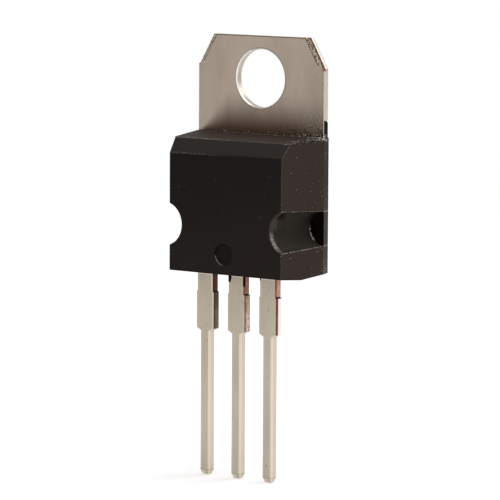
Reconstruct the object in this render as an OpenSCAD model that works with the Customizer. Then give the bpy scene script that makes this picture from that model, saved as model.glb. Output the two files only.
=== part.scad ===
// Three-lead voltage regulator in a TO-220 package, leads straight, in millimetres.
// It stands as it is seen: leads down along -Z, printed face towards -Y, heatsink face in the plane y = 0.
// The origin is the centre of the mounting hole, in the plane of the heatsink face.

/* [Strip and tab] */
// Thickness of the copper strip that the tab and the leads are stamped from
strip_t = 0.53; // [0.45:0.01:0.65]
// Width of the tab
tab_w = 10.1; // [9.6:0.05:10.6]
// From the hole's centre up to the top edge of the tab
tab_rise = 2.8; // [2.5:0.05:3.1]
// Diameter of the mounting hole
hole_d = 3.85; // [3:0.05:4]
// Radius of the rolled front edge of the hole
hole_roll = 0.08; // [0.02:0.01:0.12]
// Width of the cut on each top corner of the tab
corner_w = 1.15; // [0.5:0.05:1.6]
// Height of the cut on each top corner of the tab
corner_h = 2; // [1:0.05:2.5]
// Width of the coined bevel that follows each cut corner
coin_w = 0.34; // [0.1:0.01:0.5]
// Depth of the coined bevel at its outer edge
coin_depth = 0.14; // [0.05:0.01:0.25]
// Slant of the coined bevel's lower end, in degrees
coin_slant = 25; // [0:1:35]

/* [Inner paddle] */
// How far each side of the paddle, the part of the tab inside the body, is set in from the tab's side
paddle_inset = 0.75; // [0.55:0.05:1.2]
// From the hole's centre down to the lower edge of the paddle
paddle_drop = 10; // [9.2:0.05:10.6]
// Radius of the paddle's lower corners
paddle_corner_r = 0.5; // [0.2:0.05:1]
// From the paddle's lower edge down to the first bend
bend_gap = 0.33; // [0.32:0.01:0.5]
// Inner radius of the two bends between the paddle and the middle lead
bend_r = 0.35; // [0.2:0.05:0.45]
// From the second bend down to the underside of the body
bend_cover = 0.5; // [0.4:0.05:0.7]
// Depth of the recess in each side of the tab that the body's keys fill
key_depth = 0.35; // [0.2:0.05:0.6]
// Height of the recess above the top of the body
key_h = 1.08; // [0.5:0.02:1.4]
// Thickness of the tab that is left in front of the recess
key_skin = 0.1; // [0.06:0.01:0.2]
// Rounding of the recess's upper corners
key_r = 0.18; // [0.05:0.01:0.2]

/* [Body] */
// How far each side of the body stands out past the tab
body_lip = 0.08; // [0.02:0.01:0.2]
// How far each side of the body draws in from the tab's plane to the front face
side_draft = 0.61; // [0.4:0.01:0.8]
// Depth of the body from the heatsink face to the front face
body_depth = 4.46; // [4.2:0.02:4.7]
// From the hole's centre down to the top of the body
body_drop = 3.66; // [3.4:0.02:3.9]
// Length of the body from its top to the front edge of its underside
body_len = 9; // [8.6:0.02:9.4]
// How far the top slopes down between the tab and the bevel
top_fall = 0.2; // [0.1:0.01:0.5]
// Depth of the bevel between the top and the front face
bevel_depth = 0.8; // [0.5:0.05:1.3]
// Height of the same bevel
bevel_h = 1; // [0.5:0.02:1.3]
// How far the underside bulges downwards at the rear of the leads, where the two halves of the mould meet
parting_bulge = 0.16; // [0.05:0.01:0.3]
// How far the rear edge of the underside lies above its front edge
rear_rise = 0.08; // [0:0.01:0.3]
// Radius on the front edges of the moulding
edge_r = 0.05; // [0.03:0.01:0.3]
// Radius along both creases of the bevel
crease_r = 0.25; // [0.1:0.05:0.6]

/* [Notches and ejector mark] */
// From the top of the body down to the centre of the side notches
notch_drop = 5.94; // [5.4:0.02:6.4]
// How far the centre of a notch lies inside the body's side
notch_inset = 0.13; // [0:0.01:0.3]
// Radius of a notch at the front face
notch_r_front = 1.46; // [1.42:0.01:1.7]
// Radius of a notch where its steep mouth ends
notch_r_mouth = 1.4; // [1.2:0.01:1.44]
// Radius of a notch at its floor, on the tab
notch_r_floor = 1.13; // [0.9:0.01:1.3]
// Depth of the steep mouth
notch_mouth = 0.3; // [0.1:0.05:1.4]
// Diameter of the ejector pin's mark
ejector_d = 1.45; // [1:0.05:1.8]
// Depth of the ejector pin's mark
ejector_depth = 0.1; // [0.03:0.01:0.15]
// How far the ejector pin's mark lies to the left of the middle
ejector_shift = 0.08; // [0:0.01:0.3]
// From the underside up to the centre of the ejector pin's mark
ejector_rise = 1.32; // [1:0.02:1.6]

/* [Leads] */
// Distance between neighbouring leads
pitch = 2.54; // [2.4:0.02:2.6]
// From the heatsink face to the rear of the leads
lead_offset = 2.57; // [2.4:0.01:2.72]
// Width of a lead's narrow part
lead_w = 0.75; // [0.6:0.01:0.9]
// Width of a lead where it leaves the body
stub_w = 1.29; // [1:0.01:1.4]
// Length of that part below the body
stub_len = 1.41; // [1:0.01:1.8]
// Width of the part that the cut tie bar leaves
wide_w = 1.46; // [1.4:0.01:1.7]
// Length of the part that the cut tie bar leaves
wide_len = 2.44; // [2:0.02:3]
// Height of the slanted step from that part to the narrow part
shoulder_h = 0.2; // [0.1:0.01:0.4]
// Length of a lead below the body
lead_len = 13.67; // [13:0.01:14]
// Length of the bevels at a lead's tip
tip_len = 0.42; // [0.2:0.01:0.6]
// Depth of the bevels at a lead's tip
tip_inset = 0.15; // [0.05:0.01:0.2]

/* [Chip and wires] */
// Side of the square chip
die_w = 2.5; // [1.6:0.05:3]
// Thickness of the chip
die_t = 0.28; // [0.2:0.01:0.4]
// From the top of the body down to the centre of the chip
die_drop = 3; // [2.4:0.05:3.4]
// Thickness of the solder under the chip
solder_t = 0.05; // [0.03:0.01:0.1]
// How far the solder shows past the chip on each side
solder_rim = 0.12; // [0.05:0.01:0.2]
// From the chip's edges in to the feet of the wires on it
foot_inset = 0.6; // [0.45:0.01:0.75]
// From the chip's side out to the ground wire's foot on the paddle
ground_reach = 1.5; // [1.2:0.05:1.8]
// Diameter of a bond wire
wire_d = 0.3; // [0.2:0.01:0.35]
// How far a bond wire arches above its straight rise
wire_arch = 1.1; // [0.8:0.05:1.2]
// Length of a bond wire's pressed foot
wire_foot = 0.5; // [0.3:0.02:0.7]
// Width of the posts that the input and output wires land on
post_w = 1.9; // [1.5:0.02:2]
// Height of a post
post_h = 1.3; // [1:0.02:1.5]
// Height of a post's lower edge above the underside of the body
post_rise = 1.12; // [0.8:0.02:1.2]

/* [Hidden] */
$fn = 96;

// Steps in a rounded corner of an outline
corner_steps = 4;
// Sides and rings of a bond wire
wire_sides = 8;
wire_rings = 18;
// Overshoot of a cutting shape past the surface that it cuts
over = 1;
// Rounding of the posts' corners
post_corner_r = 0.25;

// Widths that follow the tab's
body_w = tab_w + 2 * body_lip;
face_w = body_w - 2 * side_draft;
paddle_w = tab_w - 2 * paddle_inset;

// Heights, measured from the hole's centre
body_top = -body_drop;
body_bottom = body_top - body_len;
stub_end = body_bottom - stub_len;
wide_end = stub_end - wide_len;
tip_z = body_bottom - lead_len;
notch_z = body_top - notch_drop;
die_z = body_top - die_drop;
post_bottom = body_bottom + post_rise;
post_top = post_bottom + post_h;
post_middle = post_bottom + post_h / 2;
// A post is in line with its lead on the outside, so its middle is nearer to the middle lead
post_x = pitch + (stub_w - post_w) / 2;

// Depths, measured from the heatsink face towards the front
tab_front = -strip_t;
face_y = -body_depth;
lead_rear = -lead_offset;
lead_front = lead_rear - strip_t;
solder_front = tab_front - solder_t;
die_front = solder_front - die_t;
notch_x = body_w / 2 - notch_inset;
// Where the strip bends out of the tab's plane and back into the plane of the leads
bend_top = -paddle_drop - bend_gap;
bend_bottom = body_bottom + bend_cover;
// Angle of the strip between the two bends, and the shift of a bend's corners that the strip's thickness brings
bend_angle = atan2(lead_offset, bend_top - bend_bottom);
bend_mitre = strip_t / 2 * tan(bend_angle / 2);
// Height of a wire's middle line over the surface that its foot is pressed on
foot_lift = wire_d * 0.35;

function unit(v) = v / norm(v);

// One corner of an outline, rounded by an arc of radius r that is tangent to both sides
function corner_arc(before, corner, after, r) =
    r == 0 ? [corner] :
    let(
        u = unit(before - corner),
        v = unit(after - corner),
        half = acos(u * v) / 2,
        middle = corner + unit(u + v) * r / sin(half),
        from = corner + u * r / tan(half) - middle,
        to = corner + v * r / tan(half) - middle,
        start = atan2(from.y, from.x),
        turn = atan2(from.x * to.y - from.y * to.x, from * to)
    )
    [for (i = [0 : corner_steps])
        middle + r * [cos(start + turn * i / corner_steps), sin(start + turn * i / corner_steps)]];

// An outline given as [[point, radius], ...], with every corner rounded by its own radius
function rounded(corners) =
    let(n = len(corners))
    [for (i = [0 : n - 1])
        each corner_arc(corners[(i + n - 1) % n][0], corners[i][0], corners[(i + 1) % n][0], corners[i][1])];

// A symmetrical outline from the points of its right half, top to bottom
function mirrored(right) =
    let(n = len(right))
    concat(right, [for (i = [n - 1 : -1 : 0]) [-right[i].x, right[i].y]]);

// Extrudes a shape drawn in x and z from the depth y_rear towards the front
module front_view(y_rear, y_front) {
    translate([0, y_rear, 0])
        rotate([90, 0, 0])
            linear_extrude(y_rear - y_front)
                children();
}

// Extrudes a shape drawn in y and z to both sides of x = 0
module side_view(width) {
    rotate([90, 0, 90])
        linear_extrude(width, center = true)
            children();
}

// Extrudes a shape drawn in x and y between two heights
module plan_view(z_low, z_high) {
    translate([0, 0, z_low])
        linear_extrude(z_high - z_low)
            children();
}

// Repeats a right-hand shape on the left
module both_sides() {
    children();
    mirror([1, 0, 0])
        children();
}

// The moulding's section along its middle: sloped top, bevel, flat front, underside bulging at the leads' rear
module body_section() {
    polygon(rounded([
        [[0, body_top], 0],
        [[tab_front, body_top], 0],
        [[face_y + bevel_depth, body_top - top_fall], crease_r],
        [[face_y, body_top - top_fall - bevel_h], crease_r],
        [[face_y, body_bottom], edge_r],
        [[lead_rear, body_bottom - parting_bulge], 0],
        [[0, body_bottom + rear_rise], edge_r]
    ]));
}

// The moulding seen from above: sides drafted from the tab's plane in to the front face
module body_plan() {
    polygon(rounded([
        [[body_w / 2, 0], 0],
        [[-body_w / 2, 0], 0],
        [[-body_w / 2, tab_front], 0],
        [[-face_w / 2, face_y], edge_r],
        [[face_w / 2, face_y], edge_r],
        [[body_w / 2, tab_front], 0]
    ]));
}

// A side notch: a steep conical mouth, then a slim cone down to the tab
module side_notch() {
    mouth_floor = face_y + notch_mouth;
    mouth_slope = (notch_r_front - notch_r_mouth) / notch_mouth;
    shank = tab_front - mouth_floor;
    translate([notch_x, tab_front, notch_z])
        rotate([90, 0, 0]) {
            cylinder(h = shank, r1 = notch_r_floor, r2 = notch_r_mouth);
            translate([0, 0, shank])
                cylinder(
                    h = notch_mouth + over,
                    r1 = notch_r_mouth,
                    r2 = notch_r_front + mouth_slope * over
                );
        }
}

// The ejector pin's mark: a shallow round recess
module ejector_mark() {
    translate([-ejector_shift, face_y + ejector_depth, body_bottom + ejector_rise])
        rotate([90, 0, 0])
            cylinder(h = ejector_depth + over, d = ejector_d);
}

// A key: the plastic that fills the recess in a side of the tab, just above the body
module side_key() {
    translate([tab_w / 2 - key_depth / 2, 0, 0])
        side_view(key_depth)
            polygon(rounded([
                [[0, body_top - over / 2], 0],
                [[0, body_top + key_h], key_r],
                [[tab_front + key_skin, body_top + key_h], key_r],
                [[tab_front + key_skin, body_top - over / 2], 0]
            ]));
}

// The tab seen from the front
module tab_outline() {
    polygon(mirrored([
        [tab_w / 2 - corner_w, tab_rise],
        [tab_w / 2, tab_rise - corner_h],
        [tab_w / 2, body_top]
    ]));
}

// The paddle seen from the front, running on into the strip that bends out to the middle lead
module paddle_outline() {
    half = paddle_w / 2;
    neck = stub_w / 2;
    polygon(rounded([
        [[half, body_top + over], 0],
        [[half, -paddle_drop], paddle_corner_r],
        [[neck, -paddle_drop], 0],
        [[neck, body_bottom], 0],
        [[-neck, body_bottom], 0],
        [[-neck, -paddle_drop], 0],
        [[-half, -paddle_drop], paddle_corner_r],
        [[-half, body_top + over], 0]
    ]));
}

// A lead seen from the front, from a height inside the body down to the tip
module lead_outline(z_top) {
    polygon(mirrored([
        [stub_w / 2, z_top],
        [stub_w / 2, stub_end],
        [wide_w / 2, stub_end],
        [wide_w / 2, wide_end],
        [lead_w / 2, wide_end - shoulder_h],
        [lead_w / 2, tip_z + tip_len],
        [lead_w / 2 - tip_inset, tip_z]
    ]));
}

// The post on the inner end of an outer lead
module post_outline() {
    right = stub_w / 2;
    left = right - post_w;
    polygon(rounded([
        [[left, post_bottom], post_corner_r],
        [[left, post_top], post_corner_r],
        [[right, post_top], post_corner_r],
        [[right, post_bottom], 0]
    ]));
}

// A straight lead seen from the side, its tip bevelled front and rear
module lead_section(z_top) {
    polygon([
        [lead_rear, z_top],
        [lead_front, z_top],
        [lead_front, tip_z + tip_len],
        [lead_front + tip_inset, tip_z],
        [lead_rear - tip_inset, tip_z],
        [lead_rear, tip_z + tip_len]
    ]);
}

// The whole bent strip seen from the side: tab, paddle, two bends and the middle lead
module strip_section() {
    polygon(rounded([
        [[0, tab_rise], 0],
        [[tab_front, tab_rise], 0],
        [[tab_front, bend_top + bend_mitre], bend_r],
        [[lead_front, bend_bottom + bend_mitre], bend_r + strip_t],
        [[lead_front, tip_z + tip_len], 0],
        [[lead_front + tip_inset, tip_z], 0],
        [[lead_rear - tip_inset, tip_z], 0],
        [[lead_rear, tip_z + tip_len], 0],
        [[lead_rear, bend_bottom - bend_mitre], bend_r],
        [[0, bend_top - bend_mitre], bend_r + strip_t]
    ]));
}

// The mounting hole, with its front edge rolled over by the punch
module mounting_hole() {
    bore_r = hole_d / 2;
    rotate([90, 0, 0])
        rotate_extrude()
            difference() {
                union() {
                    translate([0, -over])
                        square([bore_r, strip_t + 2 * over]);
                    translate([0, strip_t - hole_roll])
                        square([bore_r + hole_roll, hole_roll + over]);
                }
                translate([bore_r + hole_roll, strip_t - hole_roll])
                    circle(hole_roll);
            }
}

// What coining takes off along the right cut corner: a wedge that ends on a slant at the corner's lower end
module coined_bevel() {
    edge_tilt = atan2(corner_w, corner_h);
    edge_length = norm([corner_w, corner_h]);
    intersection() {
        translate([tab_w / 2 - corner_w, tab_front, tab_rise])
            rotate([0, -edge_tilt, 0])
                translate([0, 0, -edge_length - over])
                    linear_extrude(edge_length + 2 * over)
                        polygon([
                            [-coin_w, 0],
                            [coin_w, 2 * coin_depth],
                            [coin_w, -over],
                            [-coin_w, -over]
                        ]);
        front_view(0, tab_front - over)
            translate([tab_w / 2, tab_rise - corner_h])
                rotate(-coin_slant)
                    translate([-tab_w / 2, 0])
                        square(tab_w);
    }
}

// Heatsink tab, chip paddle, bends and middle lead, all one strip of copper
module tab_and_ground_lead() {
    color([0.66, 0.61, 0.54])
        difference() {
            intersection() {
                side_view(tab_w + over)
                    strip_section();
                front_view(over, lead_front - over) {
                    tab_outline();
                    paddle_outline();
                    lead_outline(body_bottom + over);
                }
            }
            mounting_hole();
            both_sides() {
                coined_bevel();
                side_key();
            }
        }
}

// An outer lead on the right, its post set towards the middle
module outer_lead() {
    translate([pitch, 0, 0])
        intersection() {
            side_view(2 * post_w)
                lead_section(post_top);
            front_view(0, lead_front - over) {
                post_outline();
                lead_outline(post_bottom + post_corner_r);
            }
        }
}

module input_lead() {
    color([0.74, 0.7, 0.64])
        mirror([1, 0, 0])
            outer_lead();
}

module output_lead() {
    color([0.74, 0.7, 0.64])
        outer_lead();
}

// The regulator chip, soldered to the paddle
module silicon_die() {
    color([0.45, 0.47, 0.55])
        front_view(solder_front, die_front)
            translate([0, die_z])
                square(die_w, center = true);
}

module die_attach() {
    half = die_w / 2 + solder_rim;
    color([0.7, 0.72, 0.75])
        front_view(tab_front, solder_front)
            polygon(rounded([
                for (corner = [[-1, -1], [1, -1], [1, 1], [-1, 1]])
                    [[corner.x * half, die_z + corner.y * half], solder_rim]
            ]));
}

// Middle line of a wire as [distance along its run, height]: a smooth rise from foot to foot with an arch on top of it
function wire_line(run, rise) = concat(
    [[-wire_foot / 2, 0]],
    [for (i = [0 : wire_rings])
        let(q = i / wire_rings)
        [
            wire_foot / 2 + q * (run - wire_foot),
            rise * (3 * q ^ 2 - 2 * q ^ 3) + wire_arch * sin(180 * q) ^ 2
        ]],
    [[run + wire_foot / 2, rise]]
);

// A round wire swept along that line, between two feet given as points on the surfaces that carry them
module bond_wire(from, to) {
    along = unit([to.x - from.x, 0, to.z - from.z]);
    out = [0, -1, 0];
    side = cross(along, out);
    start = from + out * foot_lift;
    line = wire_line(norm([to.x - from.x, to.z - from.z]), from.y - to.y);
    last = len(line) - 1;
    points = [for (i = [0 : last])
        let(step = unit(line[min(i + 1, last)] - line[max(i - 1, 0)]))
        for (k = [0 : wire_sides - 1])
            let(turn = 360 * (k + 0.5) / wire_sides)
            start + along * line[i].x + out * line[i].y
                + wire_d / 2 * (cos(turn) * side + sin(turn) * (out * step.x - along * step.y))];
    skin = [for (i = [0 : last - 1]) for (k = [0 : wire_sides - 1])
        let(a = i * wire_sides + k, b = i * wire_sides + (k + 1) % wire_sides)
        each [[a, b, b + wire_sides], [a, b + wire_sides, a + wire_sides]]];
    near_end = [for (k = [wire_sides - 1 : -1 : 0]) k];
    far_end = [for (k = [0 : wire_sides - 1]) last * wire_sides + k];
    polyhedron(points, concat(skin, [near_end, far_end]));
}

// The wire from the chip to the right-hand post, its feet pressed flat on both
module post_wire() {
    foot_x = die_w / 2 - foot_inset;
    difference() {
        bond_wire([foot_x, die_front, die_z - foot_x], [post_x, lead_front, post_middle]);
        silicon_die();
        outer_lead();
    }
}

module input_wire() {
    color([0.8, 0.8, 0.82])
        mirror([1, 0, 0])
            post_wire();
}

module output_wire() {
    color([0.8, 0.8, 0.82])
        post_wire();
}

// The wire from the chip down to the bare copper beside it
module ground_wire() {
    foot_x = die_w / 2 - foot_inset;
    color([0.8, 0.8, 0.82])
        difference() {
            bond_wire([foot_x, die_front, die_z + foot_x], [die_w / 2 + ground_reach, tab_front, die_z + foot_x]);
            silicon_die();
            tab_and_ground_lead();
        }
}

// The moulding: its drafted form with the notches and the mark, and a bed for everything that it is moulded round
module moulded_body() {
    color([0.14, 0.13, 0.12])
        difference() {
            union() {
                intersection() {
                    side_view(body_w + over)
                        body_section();
                    plan_view(body_bottom - over, body_top + over)
                        body_plan();
                }
                both_sides()
                    side_key();
            }
            both_sides()
                side_notch();
            ejector_mark();
            tab_and_ground_lead();
            input_lead();
            output_lead();
            die_attach();
            silicon_die();
            input_wire();
            output_wire();
            ground_wire();
        }
}

moulded_body();
tab_and_ground_lead();
input_lead();
output_lead();
silicon_die();
die_attach();
input_wire();
output_wire();
ground_wire();
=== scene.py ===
import math
from functools import partial
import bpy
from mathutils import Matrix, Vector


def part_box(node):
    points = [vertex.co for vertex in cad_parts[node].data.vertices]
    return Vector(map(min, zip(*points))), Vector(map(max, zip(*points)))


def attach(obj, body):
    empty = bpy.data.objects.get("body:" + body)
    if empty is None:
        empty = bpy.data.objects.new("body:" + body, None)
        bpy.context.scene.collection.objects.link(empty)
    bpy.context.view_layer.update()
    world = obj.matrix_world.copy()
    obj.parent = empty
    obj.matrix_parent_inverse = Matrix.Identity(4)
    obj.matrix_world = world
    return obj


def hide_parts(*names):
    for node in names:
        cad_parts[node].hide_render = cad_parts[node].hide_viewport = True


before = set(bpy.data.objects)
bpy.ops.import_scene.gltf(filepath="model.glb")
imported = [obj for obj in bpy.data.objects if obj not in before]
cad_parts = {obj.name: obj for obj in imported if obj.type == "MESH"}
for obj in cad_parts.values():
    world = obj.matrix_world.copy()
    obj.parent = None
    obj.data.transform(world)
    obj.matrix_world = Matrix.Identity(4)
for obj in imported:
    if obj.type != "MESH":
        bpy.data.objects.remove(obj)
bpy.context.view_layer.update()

from types import SimpleNamespace
from typing import NamedTuple

import bmesh
import bpy
import numpy as np
from bpy.props import FloatProperty, FloatVectorProperty, PointerProperty
from bpy.types import Operator, Panel, PropertyGroup
from mathutils import Matrix, Vector

bl_info = {
    "name": "Three-Lead Voltage Regulator",
    "version": (1, 0, 0),
    "blender": (4, 5, 0),
    "location": "View3D > Sidebar > Regulator",
    "description": "Builds the looks of a moulded voltage regulator round its CAD frame",
    "category": "Add Mesh",
}

MM = 0.001
STRIP_LOW, STRIP_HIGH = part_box("tab_and_ground_lead")
BODY_LOW, BODY_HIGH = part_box("moulded_body")

# Points whose places agree to within this many metres are one point of the mesh
SEWING_GAP = 1e-7
# Edges between faces that turn by less than this stay as they are, and sharper ones are rounded
SHARP_TURN = math.radians(21)
# Points that lie within this of a face count as on it
ON_FACE = 0.01 * MM

# Marks on the faces of the stamped pieces. HOLE_WALL is also on the hole's rolled rim.
FLATS, CUT_FACES, HOLE_WALL, COINED_FACES = 0, 1, 2, 3
# Marks on the faces of the moulding: its front with the bevel, all others, and the ejector pin's mark
SMOOTH_FRONT, OTHER_FACES, EJECTOR_MARK = 0, 1, 2

# Leads with a sliver of flash on their left edge: the place in the row, and the sliver's width and height
FLASH_SLIVERS = ((0, 0.24 * MM, 0.48 * MM), (1, 0.1 * MM, 0.2 * MM))

# Each lamp's name, its place and width in metres, and its power in watts
LAMPS = (
    ("Side lamp", (0.17, 0.34, 0.19), 0.2, 0.3),
    ("Top lamp", (0.12, 0.02, 0.42), 0.3, 0.8),
)
# The point near the part's middle that the lamps face
LAMP_AIM = Vector((0, -0.002, -0.011))
# Width of the camera's sensor in millimetres, which its focal length goes with
SENSOR_WIDTH = 36

# Fixed tones of the moulding: a notch's wall, black for painted shade and for the keys and the flash, and
# white for fresh chips and painted highlights
NOTCH_WALL = (0.034, 0.03, 0.0245)
BLACK_AND_SHADE = (0.002, 0.0015, 0.001)
CHIP_AND_HIGHLIGHT_WHITE = (0.75, 0.72, 0.68)
# Fixed tones of the leads, among them the black of a painted reflection of the moulding
SCRATCH = (0.09, 0.06, 0.045)
LEDGE_REFLECTION = (0.006, 0.004, 0.003)
GAP_BLACK = (0.004, 0.003, 0.002)
KEPT_PLATING = (0.85, 0.79, 0.73)
# Fixed tones of the tab, some of them painted highlight and shade: round and in the hole, on the cut and
# coined corners, and on the sheet
RING_SHADE = (0.09, 0.08, 0.075)
BORE = (0.46, 0.41, 0.36)
BORE_RIM_HIGHLIGHT = (0.95, 0.92, 0.88)
CORNER_CUT = (0.48, 0.455, 0.4)
CORNER_REAR = (0.28, 0.27, 0.25)
COIN = (0.44, 0.36, 0.28)
COIN_HATCH = (0.05, 0.036, 0.026)
COIN_LINE_DARK = (0.035, 0.024, 0.016)
COPPER_SHADE = (0.05, 0.02, 0.007)
RED_STAIN = (0.22, 0.045, 0.02)
OUTLINE = (0.09, 0.07, 0.05)
CRUMBS = (0.02, 0.013, 0.009)
LITTER = (0.8, 0.76, 0.7)

# How far the bands of shine and shade on a notch's wall slant outwards for each length towards the front
WALL_SLANT = 0.718


def length(name, description, millimetres):
    """A size property, with its default given in millimetres."""
    return FloatProperty(
        name=name, description=description, default=millimetres * MM, unit="LENGTH", precision=5, min=0
    )


def degrees(name, description, default):
    """An angle property, with its default given in degrees."""
    return FloatProperty(name=name, description=description, default=math.radians(default), unit="ROTATION")


def colour(name, description, default):
    """A colour property, in linear red, green and blue."""
    return FloatVectorProperty(
        name=name, description=description, default=default, subtype="COLOR", size=3, min=0, max=1
    )


class StripSizes(PropertyGroup):
    """Sizes of the stamped copper: the tab with the middle lead, and the two outer leads."""

    thickness: length("Thickness", "Thickness of the copper strip", 0.53)
    half_width: length("Half Width", "From the middle of the tab to its side", STRIP_HIGH.x / MM)
    rise: length("Rise", "From the hole's centre up to the top edge", STRIP_HIGH.z / MM)
    hole: length("Hole", "Radius of the mounting hole", 1.925)
    hole_roll: length("Hole Roll", "Radius of the rolled front edge of the hole", 0.08)
    corner_width: length("Corner Width", "Width of the cut on each top corner", 1.15)
    corner_height: length("Corner Height", "Height of the cut on each top corner", 2.0)
    coin_width: length("Coin Width", "Width of the coined bevel along a cut corner", 0.34)
    coin_depth: length("Coin Depth", "Depth of the coined bevel at its outer edge", 0.14)
    coin_slant: degrees("Coin Slant", "Slant of the coined bevel's lower end", 25)
    paddle: length("Paddle", "Half the width of the paddle inside the moulding", 4.3)
    paddle_drop: length("Paddle Drop", "From the hole's centre to the paddle's lower edge", 10.0)
    paddle_round: length("Paddle Round", "Radius of the paddle's lower corners", 0.5)
    bend_drop: length("Bend Drop", "From the hole's centre to the first bend", 10.33)
    bend_end: length("Bend End", "From the hole's centre to the second bend", 12.16)
    bend_radius: length("Bend Radius", "Inner radius of the bends", 0.35)
    pitch: length("Pitch", "Distance between neighbouring leads", 2.54)
    stub: length("Stub", "Half the width of a lead where it leaves the moulding", 0.645)
    stub_drop: length("Stub Drop", "From the hole's centre to the end of that part", 14.07)
    wide: length("Wide", "Half the width of the part left by the tie bar", 0.73)
    wide_drop: length("Wide Drop", "From the hole's centre to the end of that part", 16.51)
    shoulder: length("Shoulder", "Height of the slanted step to the narrow part", 0.2)
    lead: length("Lead", "Half the width of a lead's narrow part", 0.375)
    tip_drop: length("Tip Drop", "From the hole's centre to the leads' tips", -STRIP_LOW.z / MM)
    tip_length: length("Tip Length", "Length of the bevels at a tip", 0.3)
    tip_inset: length("Tip Inset", "Depth of the bevels at a tip", 0.11)
    post_width: length("Post Width", "Width of an outer lead's post", 1.9)
    post_drop: length("Post Drop", "From the hole's centre to a post's top", 10.24)
    post_height: length("Post Height", "Height of a post", 1.3)
    post_round: length("Post Round", "Radius of a post's corners", 0.25)
    edge: length("Edge", "Radius on the edges that the punch leaves", 0.035)
    roll: length("Roll", "Radius on the leads' front edges, where the punch went in", 0.06)


class MouldingSizes(PropertyGroup):
    """Sizes of the moulding, which is drafted towards its front face."""

    half_width: length("Half Width", "From the middle to the side, at the tab", BODY_HIGH.x / MM)
    depth: length("Depth", "From the heatsink face to the front face", -BODY_LOW.y / MM)
    draft: length("Draft", "How far each side draws in towards the front", 0.61)
    top_drop: length("Top Drop", "From the hole's centre to the top", 3.66)
    foot_drop: length("Foot Drop", "From the hole's centre to the underside's front edge", 12.66)
    rear_foot_drop: length("Rear Foot Drop", "From the hole's centre to the underside's rear edge", 12.58)
    bulge_drop: length("Bulge Drop", "From the hole's centre to the lowest line", -BODY_LOW.z / MM)
    top_fall: length("Top Fall", "How far the top slopes down before the bevel", 0.2)
    bevel_depth: length("Bevel Depth", "Depth of the bevel above the front face", 0.8)
    bevel_height: length("Bevel Height", "Height of the bevel above the front face", 1.0)
    crease: length("Crease", "Radius along both creases of the bevel", 0.25)
    edge: length("Edge", "Radius on the outer edges", 0.05)
    notch_drop: length("Notch Drop", "From the hole's centre to the notches' centre", 9.6)
    notch_inset: length("Notch Inset", "How far a notch's centre lies inside the side, at the front", 0.13)
    notch_lean: length("Notch Lean", "How far further out a notch's centre lies at its floor", 0.2)
    notch_front: length("Notch Front", "Radius of a notch at the front face", 1.46)
    notch_mouth: length("Notch Mouth", "Radius of a notch where its mouth ends", 1.4)
    notch_floor: length("Notch Floor", "Radius of a notch at its floor", 1.13)
    mouth_depth: length("Mouth Depth", "Depth of a notch's steep mouth", 0.3)
    notch_edge: length("Notch Edge", "Radius on the front rim of a notch", 0.1)
    mark: length("Mark", "Radius of the ejector pin's mark", 0.725)
    mark_drop: length("Mark Drop", "From the hole's centre to the mark's centre", 11.34)
    mark_shift: length("Mark Shift", "How far the mark lies to the left of the middle", 0.08)
    mark_depth: length("Mark Depth", "Depth of the ejector pin's mark", 0.1)
    mark_edge: length("Mark Edge", "Radius on the mark's rim and on the moulding's rear edges", 0.025)
    key_drop: length("Key Drop", "From the hole's centre to the top of the keys", -BODY_HIGH.z / MM)
    key_width: length("Key Width", "How far a key reaches into the tab", 0.35)
    key_skin: length("Key Skin", "Thickness of the tab left in front of a key", 0.1)
    key_round: length("Key Round", "Radius of a key's upper corners", 0.18)


class FinishColours(PropertyGroup):
    """Colours of the finishes."""

    moulding: colour("Moulding", "Black moulding compound on the smooth front", (0.0105, 0.0077, 0.0065))
    # Painted light: the smooth bevel is lighter than the front as it faces up, and the rougher faces are
    # paler partly for their finish and partly as painted light
    bevel: colour("Bevel", "Moulding compound on the bevel above the front", (0.0265, 0.0215, 0.0185))
    grain: colour("Grain", "Compound on the rougher top, sides and underside", (0.045, 0.0315, 0.0255))
    # The next two colours also paint light: the first on the lit band of each notch's wall, the second as
    # highlights
    filler_and_light: colour("Filler", "Filler that shows where the compound is rubbed", (0.07, 0.062, 0.055))
    dust_and_highlight: colour("Dust", "Dust and chips along the moulding's edges", (0.42, 0.38, 0.33))
    tab: colour("Tab", "Satin plating on the tab's flat faces", (0.415, 0.346, 0.281))
    # Painted reflection: the dark moulding mirrored in the tab's satin face, which darkens it towards the
    # moulding
    moulding_reflection: colour("Soot", "The tab's plating where it darkens towards the moulding", (0.071, 0.044, 0.031))
    lead: colour("Lead", "Satin plating on the flat faces of the leads", (0.48, 0.42, 0.337))
    edge: colour("Edge", "Plating on the stamped edges", (0.6, 0.524, 0.435))
    # This paler plating is a painted highlight on the rolled front edges and the tips' bevels, and it also
    # goes on a band just under the moulding
    rolled: colour("Rolled", "Bright plating on the rolled front edges", (0.74, 0.645, 0.55))
    copper: colour("Copper", "Bare copper on the tab's cut corners", (0.46, 0.17, 0.09))
    tarnish: colour("Tarnish", "Tarnished copper", (0.075, 0.03, 0.017))
    silicon: colour("Silicon", "Passivated silicon", (0.13, 0.15, 0.22))
    solder: colour("Solder", "Dull solder under the chip", (0.38, 0.39, 0.4))
    wire: colour("Wire", "Drawn aluminium wire", (0.72, 0.72, 0.73))


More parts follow.
